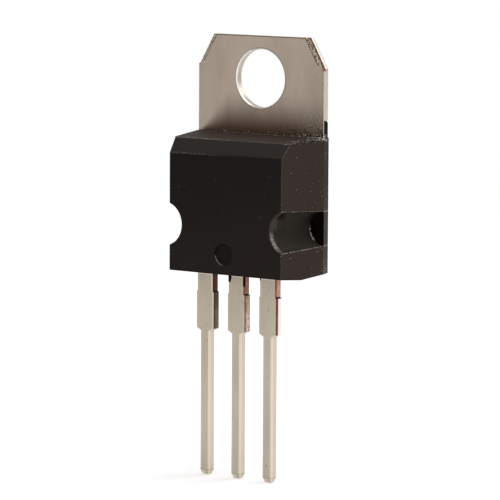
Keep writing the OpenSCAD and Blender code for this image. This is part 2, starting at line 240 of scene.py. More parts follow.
class StageSizes(PropertyGroup):
    """The floor, the lamps and the camera."""

    floor_gap: length("Floor Gap", "From the leads' tips down to the floor", 0.05)
    floor_width: length("Floor Width", "Width of the floor", 3000)
    shadow_reach: length("Shadow Reach", "From the part to where the floor starts to whiten", 60)
    white_from: length("White From", "From the part to where the floor is white", 200)
    glow: FloatProperty(name="Glow", description="Light that the seen floor adds", default=0.42, min=0)
    daylight: FloatProperty(name="Daylight", description="Strength of the world's light", default=0.5, min=0)
    distance: length("Distance", "From the camera to the point it looks at", 230.9)
    azimuth: degrees("Azimuth", "Camera's turn to the right of the front", 35.755)
    elevation: degrees("Elevation", "Camera's height above the horizon", 6.764)
    roll: degrees("Roll", "Camera's turn in its own picture", 0.308)
    lens: FloatProperty(
        name="Lens", description="Focal length on a 36 mm sensor", default=252.46, unit="CAMERA"
    )
    aim: FloatVectorProperty(
        name="Aim", description="Point at the picture's centre", default=(0.000167, -0.001842, -0.011241),
        subtype="XYZ", unit="LENGTH",
    )


class Shell:
    """Sheets of points sewn into one mesh.

    Sheets join wherever their points meet, and a corner that two columns share makes a triangle.
    """

    def __init__(self):
        self.points, self.quads, self.marks = [], [], []
        self.count = 0

    def sheet(self, grid, mark=0):
        """Adds a grid of points (rows, columns, 3). Its faces keep the mark, or each column its own one."""
        rows, columns = grid.shape[:2]
        index = self.count + np.arange(rows * columns).reshape(rows, columns)
        quads = np.stack([index[:-1, :-1], index[:-1, 1:], index[1:, 1:], index[1:, :-1]], -1)
        self.points.append(grid.reshape(-1, 3))
        self.quads.append(quads.reshape(-1, 4))
        self.marks.append(np.broadcast_to(mark, (rows - 1, columns - 1)).ravel())
        self.count += rows * columns

    def mirrored_sheet(self, grid, mark=0):
        """Adds the grid and its mirror image in the plane x = 0."""
        self.sheet(grid, mark)
        self.sheet(grid * [-1, 1, 1], mark)

    def cap(self, loop, mark=0):
        """Closes a loop of points with triangles that meet at its middle."""
        middle = np.broadcast_to(loop.mean(0), loop.shape)
        ring = np.stack([loop, middle])
        self.sheet(np.concatenate([ring, ring[:, :1]], 1), mark)

    def build(self, name, radius, radius_of=None):
        """Makes the object. Sharp edges get the radius, or the one that radius_of gives for their middles."""
        points = np.concatenate(self.points)
        _, first, place = np.unique(
            np.round(points / SEWING_GAP).astype(np.int64), axis=0, return_index=True, return_inverse=True
        )
        quads = place.ravel()[np.concatenate(self.quads)]
        corners = quads != np.roll(quads, -1, axis=1)
        whole = (corners.sum(1) > 2) & (quads[:, 0] != quads[:, 2]) & (quads[:, 1] != quads[:, 3])
        counts = corners[whole].sum(1)
        loops = quads[whole][corners[whole]]
        mesh = bpy.data.meshes.new(name)
        mesh.vertices.add(len(first))
        mesh.vertices.foreach_set("co", points[first].astype(np.float32).ravel())
        mesh.loops.add(len(loops))
        mesh.loops.foreach_set("vertex_index", loops.astype(np.int32))
        mesh.polygons.add(len(counts))
        starts = np.concatenate([[0], np.cumsum(counts)[:-1]])
        mesh.polygons.foreach_set("loop_start", starts.astype(np.int32))
        mesh.update(calc_edges=True)
        mark = mesh.attributes.new("mark", "FLOAT", "FACE")
        mark.data.foreach_set("value", np.concatenate(self.marks)[whole].astype(np.float32))
        turn_outwards(mesh)
        piece = bpy.data.objects.new(name, mesh)
        bpy.context.scene.collection.objects.link(piece)
        round_edges(piece, radius, radius_of)
        return piece


def turn_outwards(mesh):
    """Turns every face so that its normal points out of the closed shell that it is part of."""
    work = bmesh.new()
    work.from_mesh(mesh)
    bmesh.ops.recalc_face_normals(work, faces=work.faces)
    work.to_mesh(mesh)
    work.free()


def round_edges(piece, radius, radius_of=None):
    """Rounds the edges whose faces turn by more than SHARP_TURN, by the radius or a share of it."""
    mesh = piece.data
    edge_of = np.zeros(len(mesh.loops), np.int32)
    mesh.loops.foreach_get("edge_index", edge_of)
    starts = np.zeros(len(mesh.polygons), np.int32)
    mesh.polygons.foreach_get("loop_start", starts)
    counts = np.diff(np.append(starts, len(mesh.loops)))
    face_of = np.repeat(np.arange(len(counts)), counts)
    normals = np.zeros(len(counts) * 3, np.float32)
    mesh.polygons.foreach_get("normal", normals)
    normals = normals.reshape(-1, 3)
    order = np.argsort(edge_of, kind="stable")
    uses = np.bincount(edge_of, minlength=len(mesh.edges))
    begin = np.concatenate([[0], np.cumsum(uses)[:-1]])
    pairs = face_of[order][np.stack([begin, begin + np.minimum(uses, 2) - 1], 1)]
    agreement = (normals[pairs[:, 0]] * normals[pairs[:, 1]]).sum(1)
    sharp = (agreement < math.cos(SHARP_TURN)) & (uses == 2)
    places = np.zeros(len(mesh.vertices) * 3, np.float32)
    mesh.vertices.foreach_get("co", places)
    ends = np.zeros(len(mesh.edges) * 2, np.int32)
    mesh.edges.foreach_get("vertices", ends)
    middles = places.reshape(-1, 3)[ends.reshape(-1, 2)].mean(1)
    share = np.ones(len(middles)) if radius_of is None else radius_of(middles) / radius
    weight = mesh.attributes.new("bevel_weight_edge", "FLOAT", "EDGE")
    weight.data.foreach_set("value", np.where(sharp, share, 0).astype(np.float32))
    mesh.shade_smooth()
    bevel = piece.modifiers.new("Rounded edges", "BEVEL")
    bevel.limit_method = "WEIGHT"
    bevel.width = radius
    bevel.segments = 3
    bevel.use_clamp_overlap = False
    bevel.harden_normals = True


def ruled(start, end, shares):
    """A sheet of straight lines between two curves' points: start + share * (end - start)."""
    shares = np.asarray(shares, float)[None, :, None]
    return start[:, None] * (1 - shares) + end[:, None] * shares


def arc(centre, radius, start, end, steps):
    """Points (cos, sin) * radius + centre at even angles in degrees from start to end."""
    turn = np.radians(np.linspace(start, end, steps + 1))
    return np.asarray(centre) + radius * np.stack([np.cos(turn), np.sin(turn)], 1)


def carried(path, turn, section):
    """A closed section carried along a path: its (y, z) plus the offset times (-cos turn, sin turn)."""
    x, offset = section[..., 0], section[..., 1]
    y = path[:, None, 0] - offset * np.cos(turn)[:, None]
    z = path[:, None, 1] + offset * np.sin(turn)[:, None]
    return np.stack([x, y, z], -1)


def lead_rows(sizes):
    """The lead from its stub down to the tip, as rows of height, half width and half thickness."""
    half = sizes.thickness / 2
    return np.array([
        [-sizes.stub_drop, sizes.stub, half],
        [-sizes.stub_drop, sizes.wide, half],
        [-sizes.wide_drop, sizes.wide, half],
        [-sizes.wide_drop - sizes.shoulder, sizes.lead, half],
        [-sizes.tip_drop + sizes.tip_length, sizes.lead, half],
        [-sizes.tip_drop, sizes.lead - sizes.tip_inset, half - sizes.tip_inset],
    ])


def outer_lead(sizes, side):
    """An outer lead: rows of points from its inner edge to its outer one, carried down a straight path.

    A rounded post comes first, then the stub, the wide part, the shoulders and the narrow part with its tip.
    """
    r = sizes.post_round
    column_gap = 0.02 * MM
    right = sizes.pitch + sizes.stub
    left = right - sizes.post_width
    top, bottom = -sizes.post_drop, -sizes.post_drop - sizes.post_height
    corner = r - np.sqrt(np.maximum(r * r - (r - np.linspace(0, r, 5)) ** 2, 0))
    drop = np.linspace(0, r, 5)
    neck = right - 2 * sizes.stub
    lead = lead_rows(sizes)
    inner = np.where(lead[:, 1] < sizes.stub, lead[:, 1] / 2, sizes.stub)
    inside = np.full(5, neck)
    flush = np.full(5, right)
    spaced = np.maximum(corner, column_gap)
    in_row = np.stack([lead[:, 0], -lead[:, 1], -inner, inner, lead[:, 1]], 1)
    rows = np.concatenate([
        np.stack([top - drop, left + corner, inside, right - spaced, right - corner], 1),
        np.stack([bottom + drop[::-1], left + corner[::-1], inside, flush, flush], 1),
        [[bottom, neck, neck, right, right]],
        in_row + sizes.pitch * np.array([0, 1, 1, 1, 1]),
    ])
    half = np.concatenate([np.full(len(rows) - len(lead), sizes.thickness / 2), lead[:, 2]])
    x = side * rows[:, 1:]
    half = np.broadcast_to(half[:, None], x.shape)
    section = np.stack([
        np.concatenate([x, x[:, ::-1], x[:, :1]], 1), np.concatenate([half, -half, half[:, :1]], 1)
    ], -1)
    path = np.stack([np.full(len(rows), STRIP_LOW.y + sizes.thickness / 2), rows[:, 0]], 1)
    shell = Shell()
    grid = carried(path, np.zeros(len(rows)), section)
    face = [FLATS] * 3 + [CUT_FACES]
    shell.sheet(grid, face + face)
    for end in (0, -1):
        shell.sheet(np.stack([grid[end, :4], grid[end, 4:8][::-1]]), CUT_FACES)
    return shell


def rolled_edges(sizes):
    """Radius of an edge by its middle: the roll along the leads' front edges, and the fine edge elsewhere."""
    def radius_of(places):
        front = np.abs(places[:, 1] - STRIP_LOW.y) < ON_FACE
        return np.where(front & (places[:, 2] < BODY_LOW.z), sizes.roll, sizes.edge)
    return radius_of


class REGULATOR_OT_outer_leads(Operator):
    """Builds the input and output leads"""

    bl_idname = "regulator.outer_leads"
    bl_label = "Outer Leads"

    def execute(self, context):
        sizes = context.scene.regulator_strip
        for node, side in (("input_lead", -1), ("output_lead", 1)):
            piece = outer_lead(sizes, side).build("stamped_" + node, sizes.roll, rolled_edges(sizes))
            finish_piece(piece, plating_finish("Plating of " + node, context.scene, side))
            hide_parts(node)
        return {"FINISHED"}


def bent_path(sizes, straight):
    """Middle line of the bent strip as (y, z), with its turn from straight down.

    Straight rows run down the tab. Then come an arc forwards, an arc back and the lead's rows.
    """
    half = sizes.thickness / 2
    tab_y, lead_y = -half, STRIP_LOW.y + half
    fall = sizes.bend_end - sizes.bend_drop
    turn = math.atan2(tab_y - lead_y, fall)
    radius = sizes.bend_radius + half
    tangent = radius * math.tan(turn / 2)
    turns = np.linspace(0, turn, 9)
    back = turns[::-1]
    first = radius * np.stack([np.cos(turns), -np.sin(turns)], 1)
    first = first + [tab_y - radius, -sizes.bend_drop + tangent]
    second = radius * np.stack([-np.cos(back), np.sin(back)], 1)
    second = second + [lead_y + radius, -sizes.bend_end - tangent]
    lead = lead_rows(sizes)
    path = np.concatenate([
        np.stack([np.full(len(straight), tab_y), straight], 1),
        first, second,
        np.stack([np.full(len(lead), lead_y), lead[:, 0]], 1),
    ])
    angles = np.concatenate([np.zeros(len(straight)), turns, back, np.zeros(len(lead))])
    return path, angles


def tab_strip(sizes, key):
    """The tab, the paddle, the bends and the middle lead.

    Round the hole it is two rings of straight lines from the hole to the outline. Below them it is a flat
    section carried along the bent path.
    """
    shell = Shell()
    front, half = -sizes.thickness, sizes.thickness / 2
    side, top = sizes.half_width, sizes.rise
    corner_z = top - sizes.corner_height
    edge = math.hypot(sizes.corner_width, sizes.corner_height)
    coin_x = sizes.coin_width * edge / sizes.corner_height
    ring_margin = 4 * sizes.hole_roll + 0.05 * MM
    ring_end = -sizes.hole - ring_margin
    top_steps, coin_steps, side_steps = 12, 8, 12
    recess = side - key.key_width
    r = sizes.paddle_round
    places = np.concatenate([
        [0, 0.5 * sizes.stub], np.linspace(sizes.stub, sizes.paddle - r, 6), [sizes.paddle, recess, side]
    ])

    def line(start, end, steps):
        return np.linspace(start, end, steps + 1)

    # Right half of the outline from the top's middle to the ring's lower edge, at the rear and at the front
    upper, lower = (side - sizes.corner_width, top), (side, corner_z)
    slant = math.tan(sizes.coin_slant)
    run = coin_x / (1 - slant * sizes.corner_width / sizes.corner_height)
    inner_upper, inner_lower = (upper[0] - coin_x, top), (side - run, corner_z + slant * run)
    lower_edge = np.stack([places[-2::-1], np.full(len(places) - 1, ring_end)], 1)
    top_line = line((0, top), inner_upper, top_steps)
    side_line = line(lower, (side, ring_end), side_steps)
    rear = np.concatenate([top_line, line(upper, lower, coin_steps), side_line, lower_edge])
    flat = np.concatenate([top_line, line(inner_upper, inner_lower, coin_steps), side_line, lower_edge])
    wall = rear[:-len(lower_edge)]
    depth = np.full(len(wall), front)
    coin = slice(top_steps + 1, top_steps + coin_steps + 2)
    depth[coin] += sizes.coin_depth

    def placed(outline, y):
        return np.stack([outline[:, 0], np.broadcast_to(y, len(outline)), outline[:, 1]], 1)

    angle = np.arctan2(rear[:, 1], rear[:, 0])

    def hole(radius, y):
        return np.stack([radius * np.cos(angle), np.full(len(angle), y), radius * np.sin(angle)], 1)

    spokes = [0, 0.12, 0.4, 0.7, 1]
    shell.mirrored_sheet(ruled(hole(sizes.hole, 0), placed(rear, 0), spokes))
    shell.mirrored_sheet(ruled(hole(sizes.hole + sizes.hole_roll, front), placed(flat, front), spokes))
    roll = np.linspace(0, math.pi / 2, 6)
    rolled = [
        hole(sizes.hole + sizes.hole_roll * (1 - math.sin(a)), front + sizes.hole_roll * (1 - math.cos(a)))
        for a in roll
    ]
    shell.mirrored_sheet(np.stack(rolled + [hole(sizes.hole, 0)], 1), HOLE_WALL)
    levels = (0, -half, front + sizes.coin_depth, depth)
    shell.mirrored_sheet(np.stack([placed(wall, level) for level in levels], 1), CUT_FACES)
    coined = np.stack([placed(flat[coin], front), placed(wall[coin], depth[coin])], 1)
    shell.mirrored_sheet(coined, COINED_FACES)
    shell.mirrored_sheet(np.array([
        [[inner_upper[0], front, top], [inner_upper[0], front, top]],
        [[inner_upper[0], front, top], [upper[0], front + sizes.coin_depth, top]],
    ]))
    shell.mirrored_sheet(np.array([
        [[inner_lower[0], front, inner_lower[1]], [inner_lower[0], front, inner_lower[1]]],
        [[side, front, corner_z], [side, front + sizes.coin_depth, corner_z]],
    ]), COINED_FACES)

    # Rows of the carried section: height, half width in front, half width behind the keys' skin, and for each
    # of these the width that the columns keep to, as the next row may have another width at the same height
    corner = arc((sizes.paddle - r, -sizes.paddle_drop + r), r, 0, -90, 5)
    rows = np.array([
        [ring_end, side, side, side, side],
        [-key.key_drop, side, side, side, recess],
        [-key.key_drop, side, recess, side, recess],
        [-key.top_drop, side, recess, sizes.paddle, sizes.paddle],
        [-key.top_drop, sizes.paddle, sizes.paddle, sizes.paddle, sizes.paddle],
        *([z, x, x, sizes.paddle - r, sizes.paddle - r] for x, z in corner[1:-1]),
        [-sizes.paddle_drop, sizes.paddle - r, sizes.paddle - r, sizes.stub, sizes.stub],
        [-sizes.paddle_drop, sizes.stub, sizes.stub, sizes.stub, sizes.stub],
    ])
    path, turn = bent_path(sizes, rows[:, 0])
    lead = lead_rows(sizes)
    bends = len(path) - len(rows) - len(lead)
    stub_below = np.full(bends + len(lead), sizes.stub)
    lead_below = np.concatenate([stub_below[:bends], lead[:, 1]])
    width, behind = (np.concatenate([rows[:, i], lead_below]) for i in (1, 2))
    kept_front, kept_behind = (np.concatenate([rows[:, i], stub_below]) for i in (3, 4))
    thick = np.concatenate([np.full(len(rows) + bends, half), lead[:, 2]])
    skin = np.where(width > behind, thick - key.key_skin, 0)
    skin[1] = half - key.key_skin
    step = skin.copy()
    step[0] = half - sizes.coin_depth

    def spread(width, kept):
        """Columns from the left edge to the right one.

        Those up to the kept width hold their places, or draw in with a narrow lead. The rest lie on the edge.
        """
        drawn_in = np.where(width < sizes.stub, width / 2 / sizes.stub, 1)[:, None]
        x = np.where(places <= kept[:, None] + SEWING_GAP, places * drawn_in, width[:, None])
        return np.concatenate([-x[:, :0:-1], x], 1)

    def columns(x, offset):
        return np.stack([x, np.broadcast_to(offset[:, None], x.shape)], -1)

    section = np.concatenate([
        columns(spread(width, kept_front), thick),
        columns(width[:, None], step), columns(behind[:, None], skin),
        columns(-spread(behind, kept_behind), -thick),
        columns(-behind[:, None], skin), columns(-width[:, None], step),
        columns(-width[:, None], thick),
    ], 1)
    grid = carried(path, turn, section)
    face = [FLATS] * (2 * len(places) - 2) + [CUT_FACES] * 3
    shell.sheet(grid, face + face)
    shell.cap(grid[-1, :-1], CUT_FACES)
    return shell


class REGULATOR_OT_tab(Operator):
    """Builds the tab with its paddle and the middle lead"""

    bl_idname = "regulator.tab"
    bl_label = "Tab and Ground Lead"

    def execute(self, context):
        scene = context.scene
        sizes = scene.regulator_strip
        shell = tab_strip(sizes, scene.regulator_moulding)
        piece = shell.build("stamped_tab", sizes.roll, rolled_edges(sizes))
        finish_piece(piece, plating_finish("Plating of the tab", scene, 0))
        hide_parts("tab_and_ground_lead")
        return {"FINISHED"}


def moulding_shell(sizes, strip):
    """The moulding.

    Its right side is one grid from the rear edge round to the front edge. There x is that of the drafted
    side, or of the notch's cone on the rows along its rim. The other faces are lines between the two sides.
    """
    shell = Shell()
    tab = -strip.thickness
    reach = sizes.depth - strip.thickness
    bulge = -STRIP_LOW.y - strip.thickness
    top = -sizes.top_drop
    centre = -sizes.notch_drop
    shares = np.array([0, 0.2, 0.4, (bulge + tab) / reach, 0.75, 1 - sizes.mouth_depth / reach, 0.965, 1])

    def draft(y):
        return sizes.half_width - sizes.draft * (tab - y) / reach

    def notch_radius(y):
        mouth = sizes.mouth_depth - sizes.depth
        radii = [sizes.notch_floor, sizes.notch_mouth, sizes.notch_front]
        return np.interp(-y, [-tab, -mouth, sizes.depth], radii)

    def notch_centre(y):
        return sizes.half_width - sizes.notch_inset + sizes.notch_lean * (sizes.depth + y) / reach

    def rim_turn(y):
        return np.arccos((notch_centre(y) - draft(y)) / notch_radius(y))

    def underside(y):
        drops = [sizes.rear_foot_drop, sizes.bulge_drop, sizes.foot_drop]
        return -np.interp(-y, [0, bulge, sizes.depth], drops)

    # Front edge of the side as (y, z), from the notch's upper rim to the top, with both creases rounded
    slope = np.array([-(reach - sizes.bevel_depth), -sizes.top_fall])
    bevel_top = np.array([tab, top]) + slope
    bevel_foot = bevel_top + [-sizes.bevel_depth, -sizes.bevel_height]
    rim_z = centre + sizes.notch_front * math.sin(rim_turn(np.array([-sizes.depth]))[0])
    heights = np.linspace(rim_z, bevel_foot[1] - sizes.crease, 5)[:-1]
    below = np.stack([np.full(len(heights), -sizes.depth), heights], 1)
    front = np.concatenate([
        below,
        crease(below[-1], bevel_foot, bevel_top, sizes.crease),
        crease(bevel_foot, bevel_top, np.array([tab, top]), sizes.crease),
    ])

    steps_below = np.array([0, 0.22, 0.45, 0.72])
    steps_notch = np.linspace(-1, 1, 29)
    y_full = tab - reach * shares
    rim_full = notch_radius(y_full) * np.sin(rim_turn(y_full))
    lower_z = underside(y_full) + steps_below[:, None] * (centre - rim_full - underside(y_full))
    angle = steps_notch[:, None] * rim_turn(y_full)
    notch_z = centre + notch_radius(y_full) * np.sin(angle)
    notch_x = notch_centre(y_full) - notch_radius(y_full) * np.cos(angle)
    rise = (front[1:, 1] - rim_z) / (front[-1, 1] - rim_z)
    y_upper = tab + (front[1:, :1] - tab) * shares
    top_z = top + sizes.top_fall * (y_upper[-1] - tab) / (reach - sizes.bevel_depth)
    upper_z = centre + rim_full + rise[:, None] * (top_z - centre - rim_full)
    y_lower = np.broadcast_to(y_full, lower_z.shape)
    y_notch = np.broadcast_to(y_full, notch_z.shape)
    wall = np.concatenate([
        np.stack([draft(y_lower), y_lower, lower_z], -1),
        np.stack([notch_x, y_notch, notch_z], -1),
        np.stack([draft(y_upper), y_upper, upper_z], -1),
    ])
    edge = wall[:, :1] * [0, 1, 1] + [sizes.half_width, 0, 0]
    edge[len(lower_z):len(lower_z) + len(steps_notch), 0, 2] = centre + rim_full[0] * steps_notch
    floor = edge + (wall[:, :1] - edge) * 0.5
    rear = edge * [1, 0, 1]
    rear[:, 0, 2] = np.where(np.arange(len(rear)) == 0, -sizes.rear_foot_drop, rear[:, 0, 2])
    side = np.concatenate([rear, edge, floor, wall], 1)
    shell.mirrored_sheet(side, OTHER_FACES)

    # Lines across: the paddle's width in the middle, and one more column on each side
    columns = 22
    least_margin = 0.35 * MM

    def across(ends):
        half = ends[:, :1]
        inner = np.minimum(strip.paddle, half - least_margin) * np.linspace(-1, 1, columns + 1)
        x = np.concatenate([-half, inner, half], 1)
        y, z = (np.broadcast_to(ends[:, i:i + 1], x.shape) for i in (1, 2))
        return np.stack([x, y, z], -1)

    # The front is split at one of the notch's lower rows, and the ejector pin's mark lies below that seam
    seam_step = 9
    rims = side[:, -1]
    seam = len(lower_z) + seam_step
    shell.sheet(across(rims[seam:]), SMOOTH_FRONT)
    slope_rows = side[-1, 3:][::-1]
    shell.sheet(across(slope_rows), OTHER_FACES)
    foot_rows = np.concatenate([side[0, :2], side[0, 4:]])
    shell.sheet(across(foot_rows), OTHER_FACES)

    # Lower front: a ring of straight lines from the ejector pin's mark to the front's outline
    bottom_line, seam_line = across(rims[:1])[0], across(rims[seam:seam + 1])[0]
    right = rims[:seam + 1]
    left = (right * [-1, 1, 1])[::-1]
    outline = np.concatenate([bottom_line, right[1:], seam_line[::-1][1:], left[1:]])
    mark = np.array([-sizes.mark_shift, -sizes.depth, -sizes.mark_drop])
    around = np.arctan2(outline[:, 2] - mark[2], outline[:, 0] - mark[0])
    unit = np.stack([np.cos(around), np.zeros(len(around)), np.sin(around)], 1)
    shell.sheet(ruled(mark + sizes.mark * unit, outline, [0, 0.1, 0.4, 1]), SMOOTH_FRONT)
    levels = [(1, 0), (1, 1), (0.6, 1), (0, 1)]
    rings = [mark + r * sizes.mark * unit + [0, d * sizes.mark_depth, 0] for r, d in levels]
    shell.sheet(np.stack(rings, 1), EJECTOR_MARK)

    # Rear: a band from the outline in to the paddle's pocket, then the pocket's wall and its floor
    outer = side[::-1, 0]
    r = strip.paddle_round
    deep = -strip.paddle_drop + r
    share = np.clip((deep - outer[:, 2]) / (deep + sizes.rear_foot_drop), 0, 1) * math.pi / 2
    pocket = np.stack([
        strip.paddle - r * (1 - np.cos(share)), np.zeros(len(outer)),
        np.where(outer[:, 2] > deep, outer[:, 2], deep - r * np.sin(share)),
    ], 1)
    shell.mirrored_sheet(np.stack([outer, pocket], 1), OTHER_FACES)
    base = across(outer[-1:])[0]
    # The pocket's lower edge steps down round the strip, which goes on flush with the rear to its first bend.
    # The step's sides slant by a small share of the strip's half width.
    slanted = 1.015
    inner_x = pocket[-1, 0] * np.linspace(-1, 1, columns + 1)
    middle = columns // 2
    step = np.array([-slanted, -1, 1, slanted])
    inner_x[[middle - 2, middle - 1, middle + 1, middle + 2]] = strip.stub * step
    inner_z = np.where(np.abs(inner_x) < (1 + slanted) / 2 * strip.stub, -strip.bend_drop, pocket[-1, 2])
    level_base = np.stack([inner_x, np.zeros(len(inner_x)), np.full(len(inner_x), pocket[-1, 2])], 1)
    pocket_base = np.stack([inner_x, np.zeros(len(inner_x)), inner_z], 1)
    into = np.array([0, tab, 0])
    floor_edge = pocket + into
    pocket_floor = ruled(floor_edge * [-1, 1, 1], floor_edge, np.linspace(0, 1, columns + 1))
    pocket_floor[-1] = level_base + into
    shell.sheet(np.stack([base, pocket_base[np.r_[0, :columns + 1, columns]]], 1), OTHER_FACES)
    shell.mirrored_sheet(np.stack([pocket, floor_edge], 1), OTHER_FACES)
    shell.sheet(np.stack([pocket_base, pocket_base + into], 1), OTHER_FACES)
    shell.sheet(np.stack([level_base + into, pocket_base + into], 1), OTHER_FACES)
    shell.sheet(pocket_floor, OTHER_FACES)
    shell.mirrored_sheet(np.stack([side[-1, :2], np.stack([pocket[0], floor_edge[0]])], 1), OTHER_FACES)

    key_blocks(shell, sizes, strip)
    for lead, width, height in FLASH_SLIVERS:
        flash_sliver(shell, lead * strip.pitch - strip.stub, width, height)
    return shell


def flash_sliver(shell, x, width, height):
    """A thin sliver of flash that hangs from the underside over a lead's left front edge.

    It is a square pin that starts inside the moulding and narrows by the cube of the way down.
    """
    root, thickness = 0.1 * MM, 0.2 * MM
    past_side, past_front = 0.012 * MM, 0.03 * MM
    rows = np.linspace(0, 1, 6)[:, None]
    z = BODY_LOW.z + root - (height + root) * rows
    across = width * (1 - 0.4 * rows ** 3) * [0, 1, 1, 0, 0]
    deep = thickness * (1 - 0.3 * rows) * [0, 0, 1, 1, 0]
    start = np.array([x - past_side, STRIP_LOW.y - past_front, 0])
    grid = start + np.stack([across, deep, np.broadcast_to(z, across.shape)], -1)
    shell.sheet(grid, OTHER_FACES)
    shell.cap(grid[0, :-1], OTHER_FACES)
    shell.cap(grid[-1, :-1], OTHER_FACES)


def crease(before, corner, after, radius):
    """An arc tangent to both sides of a corner, as points. The tangents are radius * tan(turn / 2) long."""
    into, out = corner - before, after - corner
    into, out = into / np.hypot(*into), out / np.hypot(*out)
    cross = into[0] * out[1] - into[1] * out[0]
    turn = math.atan2(cross, into @ out)
    tangent = radius * math.tan(abs(turn) / 2)
    normal = math.copysign(1, turn) * np.array([-into[1], into[0]])
    centre = corner - into * tangent + normal * radius
    a = np.linspace(0, turn, 5)[:, None]
    spoke = -normal * radius
    return centre + np.concatenate([
        spoke[0] * np.cos(a) - spoke[1] * np.sin(a), spoke[0] * np.sin(a) + spoke[1] * np.cos(a)
    ], 1)


def key_blocks(shell, sizes, strip):
    """The keys in the tab's sides: a side view with rounded upper corners, carried across the key's width."""
    root = 0.2 * MM
    low, high = -sizes.top_drop - root, -sizes.key_drop
    front = -strip.thickness + sizes.key_skin
    r = sizes.key_round
    rear_corner = arc((-r, high - r), r, 0, 90, 4)
    front_corner = arc((front + r, high - r), r, 90, 180, 4)
    outline = np.concatenate([[[0, low]], rear_corner, front_corner, [[front, low]]])
    outer, inner = STRIP_HIGH.x, STRIP_HIGH.x - sizes.key_width
    rims = [np.concatenate([np.full((len(outline), 1), x), outline], 1) for x in (outer, inner)]
    for side in (1, -1):
        flip = np.array([side, 1, 1])
        ring = np.stack(rims, 1) * flip
        shell.sheet(np.concatenate([ring, ring[:1]]), OTHER_FACES)
        for rim in rims:
            shell.cap(rim * flip, OTHER_FACES)


class REGULATOR_OT_moulding(Operator):
    """Builds the moulding with its notches, keys and ejector mark"""

    bl_idname = "regulator.moulding"
    bl_label = "Moulding"

    def execute(self, context):
        sizes, strip = context.scene.regulator_moulding, context.scene.regulator_strip

        def radius_of(places):
            """Full on the notches' front rims, and fine at the rear, on the mark's rim and on the flash."""
            x, y, z = places.T
            away = np.hypot(np.abs(x) - sizes.half_width + sizes.notch_inset, z + sizes.notch_drop)
            rim = (np.abs(away - sizes.notch_front) < 2 * ON_FACE) & (y < ON_FACE - sizes.depth)
            fine = np.hypot(x + sizes.mark_shift, z + sizes.mark_drop) < sizes.mark + ON_FACE
            fine |= (y > -strip.thickness - ON_FACE) | (z < BODY_LOW.z - ON_FACE)
            return np.select([fine, rim], [sizes.mark_edge, sizes.notch_edge], sizes.edge)

        piece = moulding_shell(sizes, strip).build("moulding", sizes.notch_edge, radius_of)
        finish = moulding_finish(context.scene.regulator_colours, sizes, strip)
        finish_piece(piece, finish)
        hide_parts("moulded_body")
        return {"FINISHED"}


class Term:
    """A shader socket that takes part in arithmetic. Each operation adds its Math node."""

    def __init__(self, finish, socket):
        self.finish, self.socket = finish, socket

    def math(self, operation, *others):
        return self.finish.node("ShaderNodeMath", {"operation": operation}, dict(enumerate((self, *others))))

    def __add__(self, other):
        return self.math("ADD", other)

    def __radd__(self, other):
        return self.math("ADD", other)

    def __sub__(self, other):
        return self.math("SUBTRACT", other)

    def __rsub__(self, other):
        return (self * -1).math("ADD", other)

    def __mul__(self, other):
        return self.math("MULTIPLY", other)

    def __rmul__(self, other):
        return self.math("MULTIPLY", other)

    def __truediv__(self, other):
        return self.math("DIVIDE", other)

    def __rtruediv__(self, other):
        return self.math("POWER", -1) * other

    def __abs__(self):
        return self.math("ABSOLUTE")


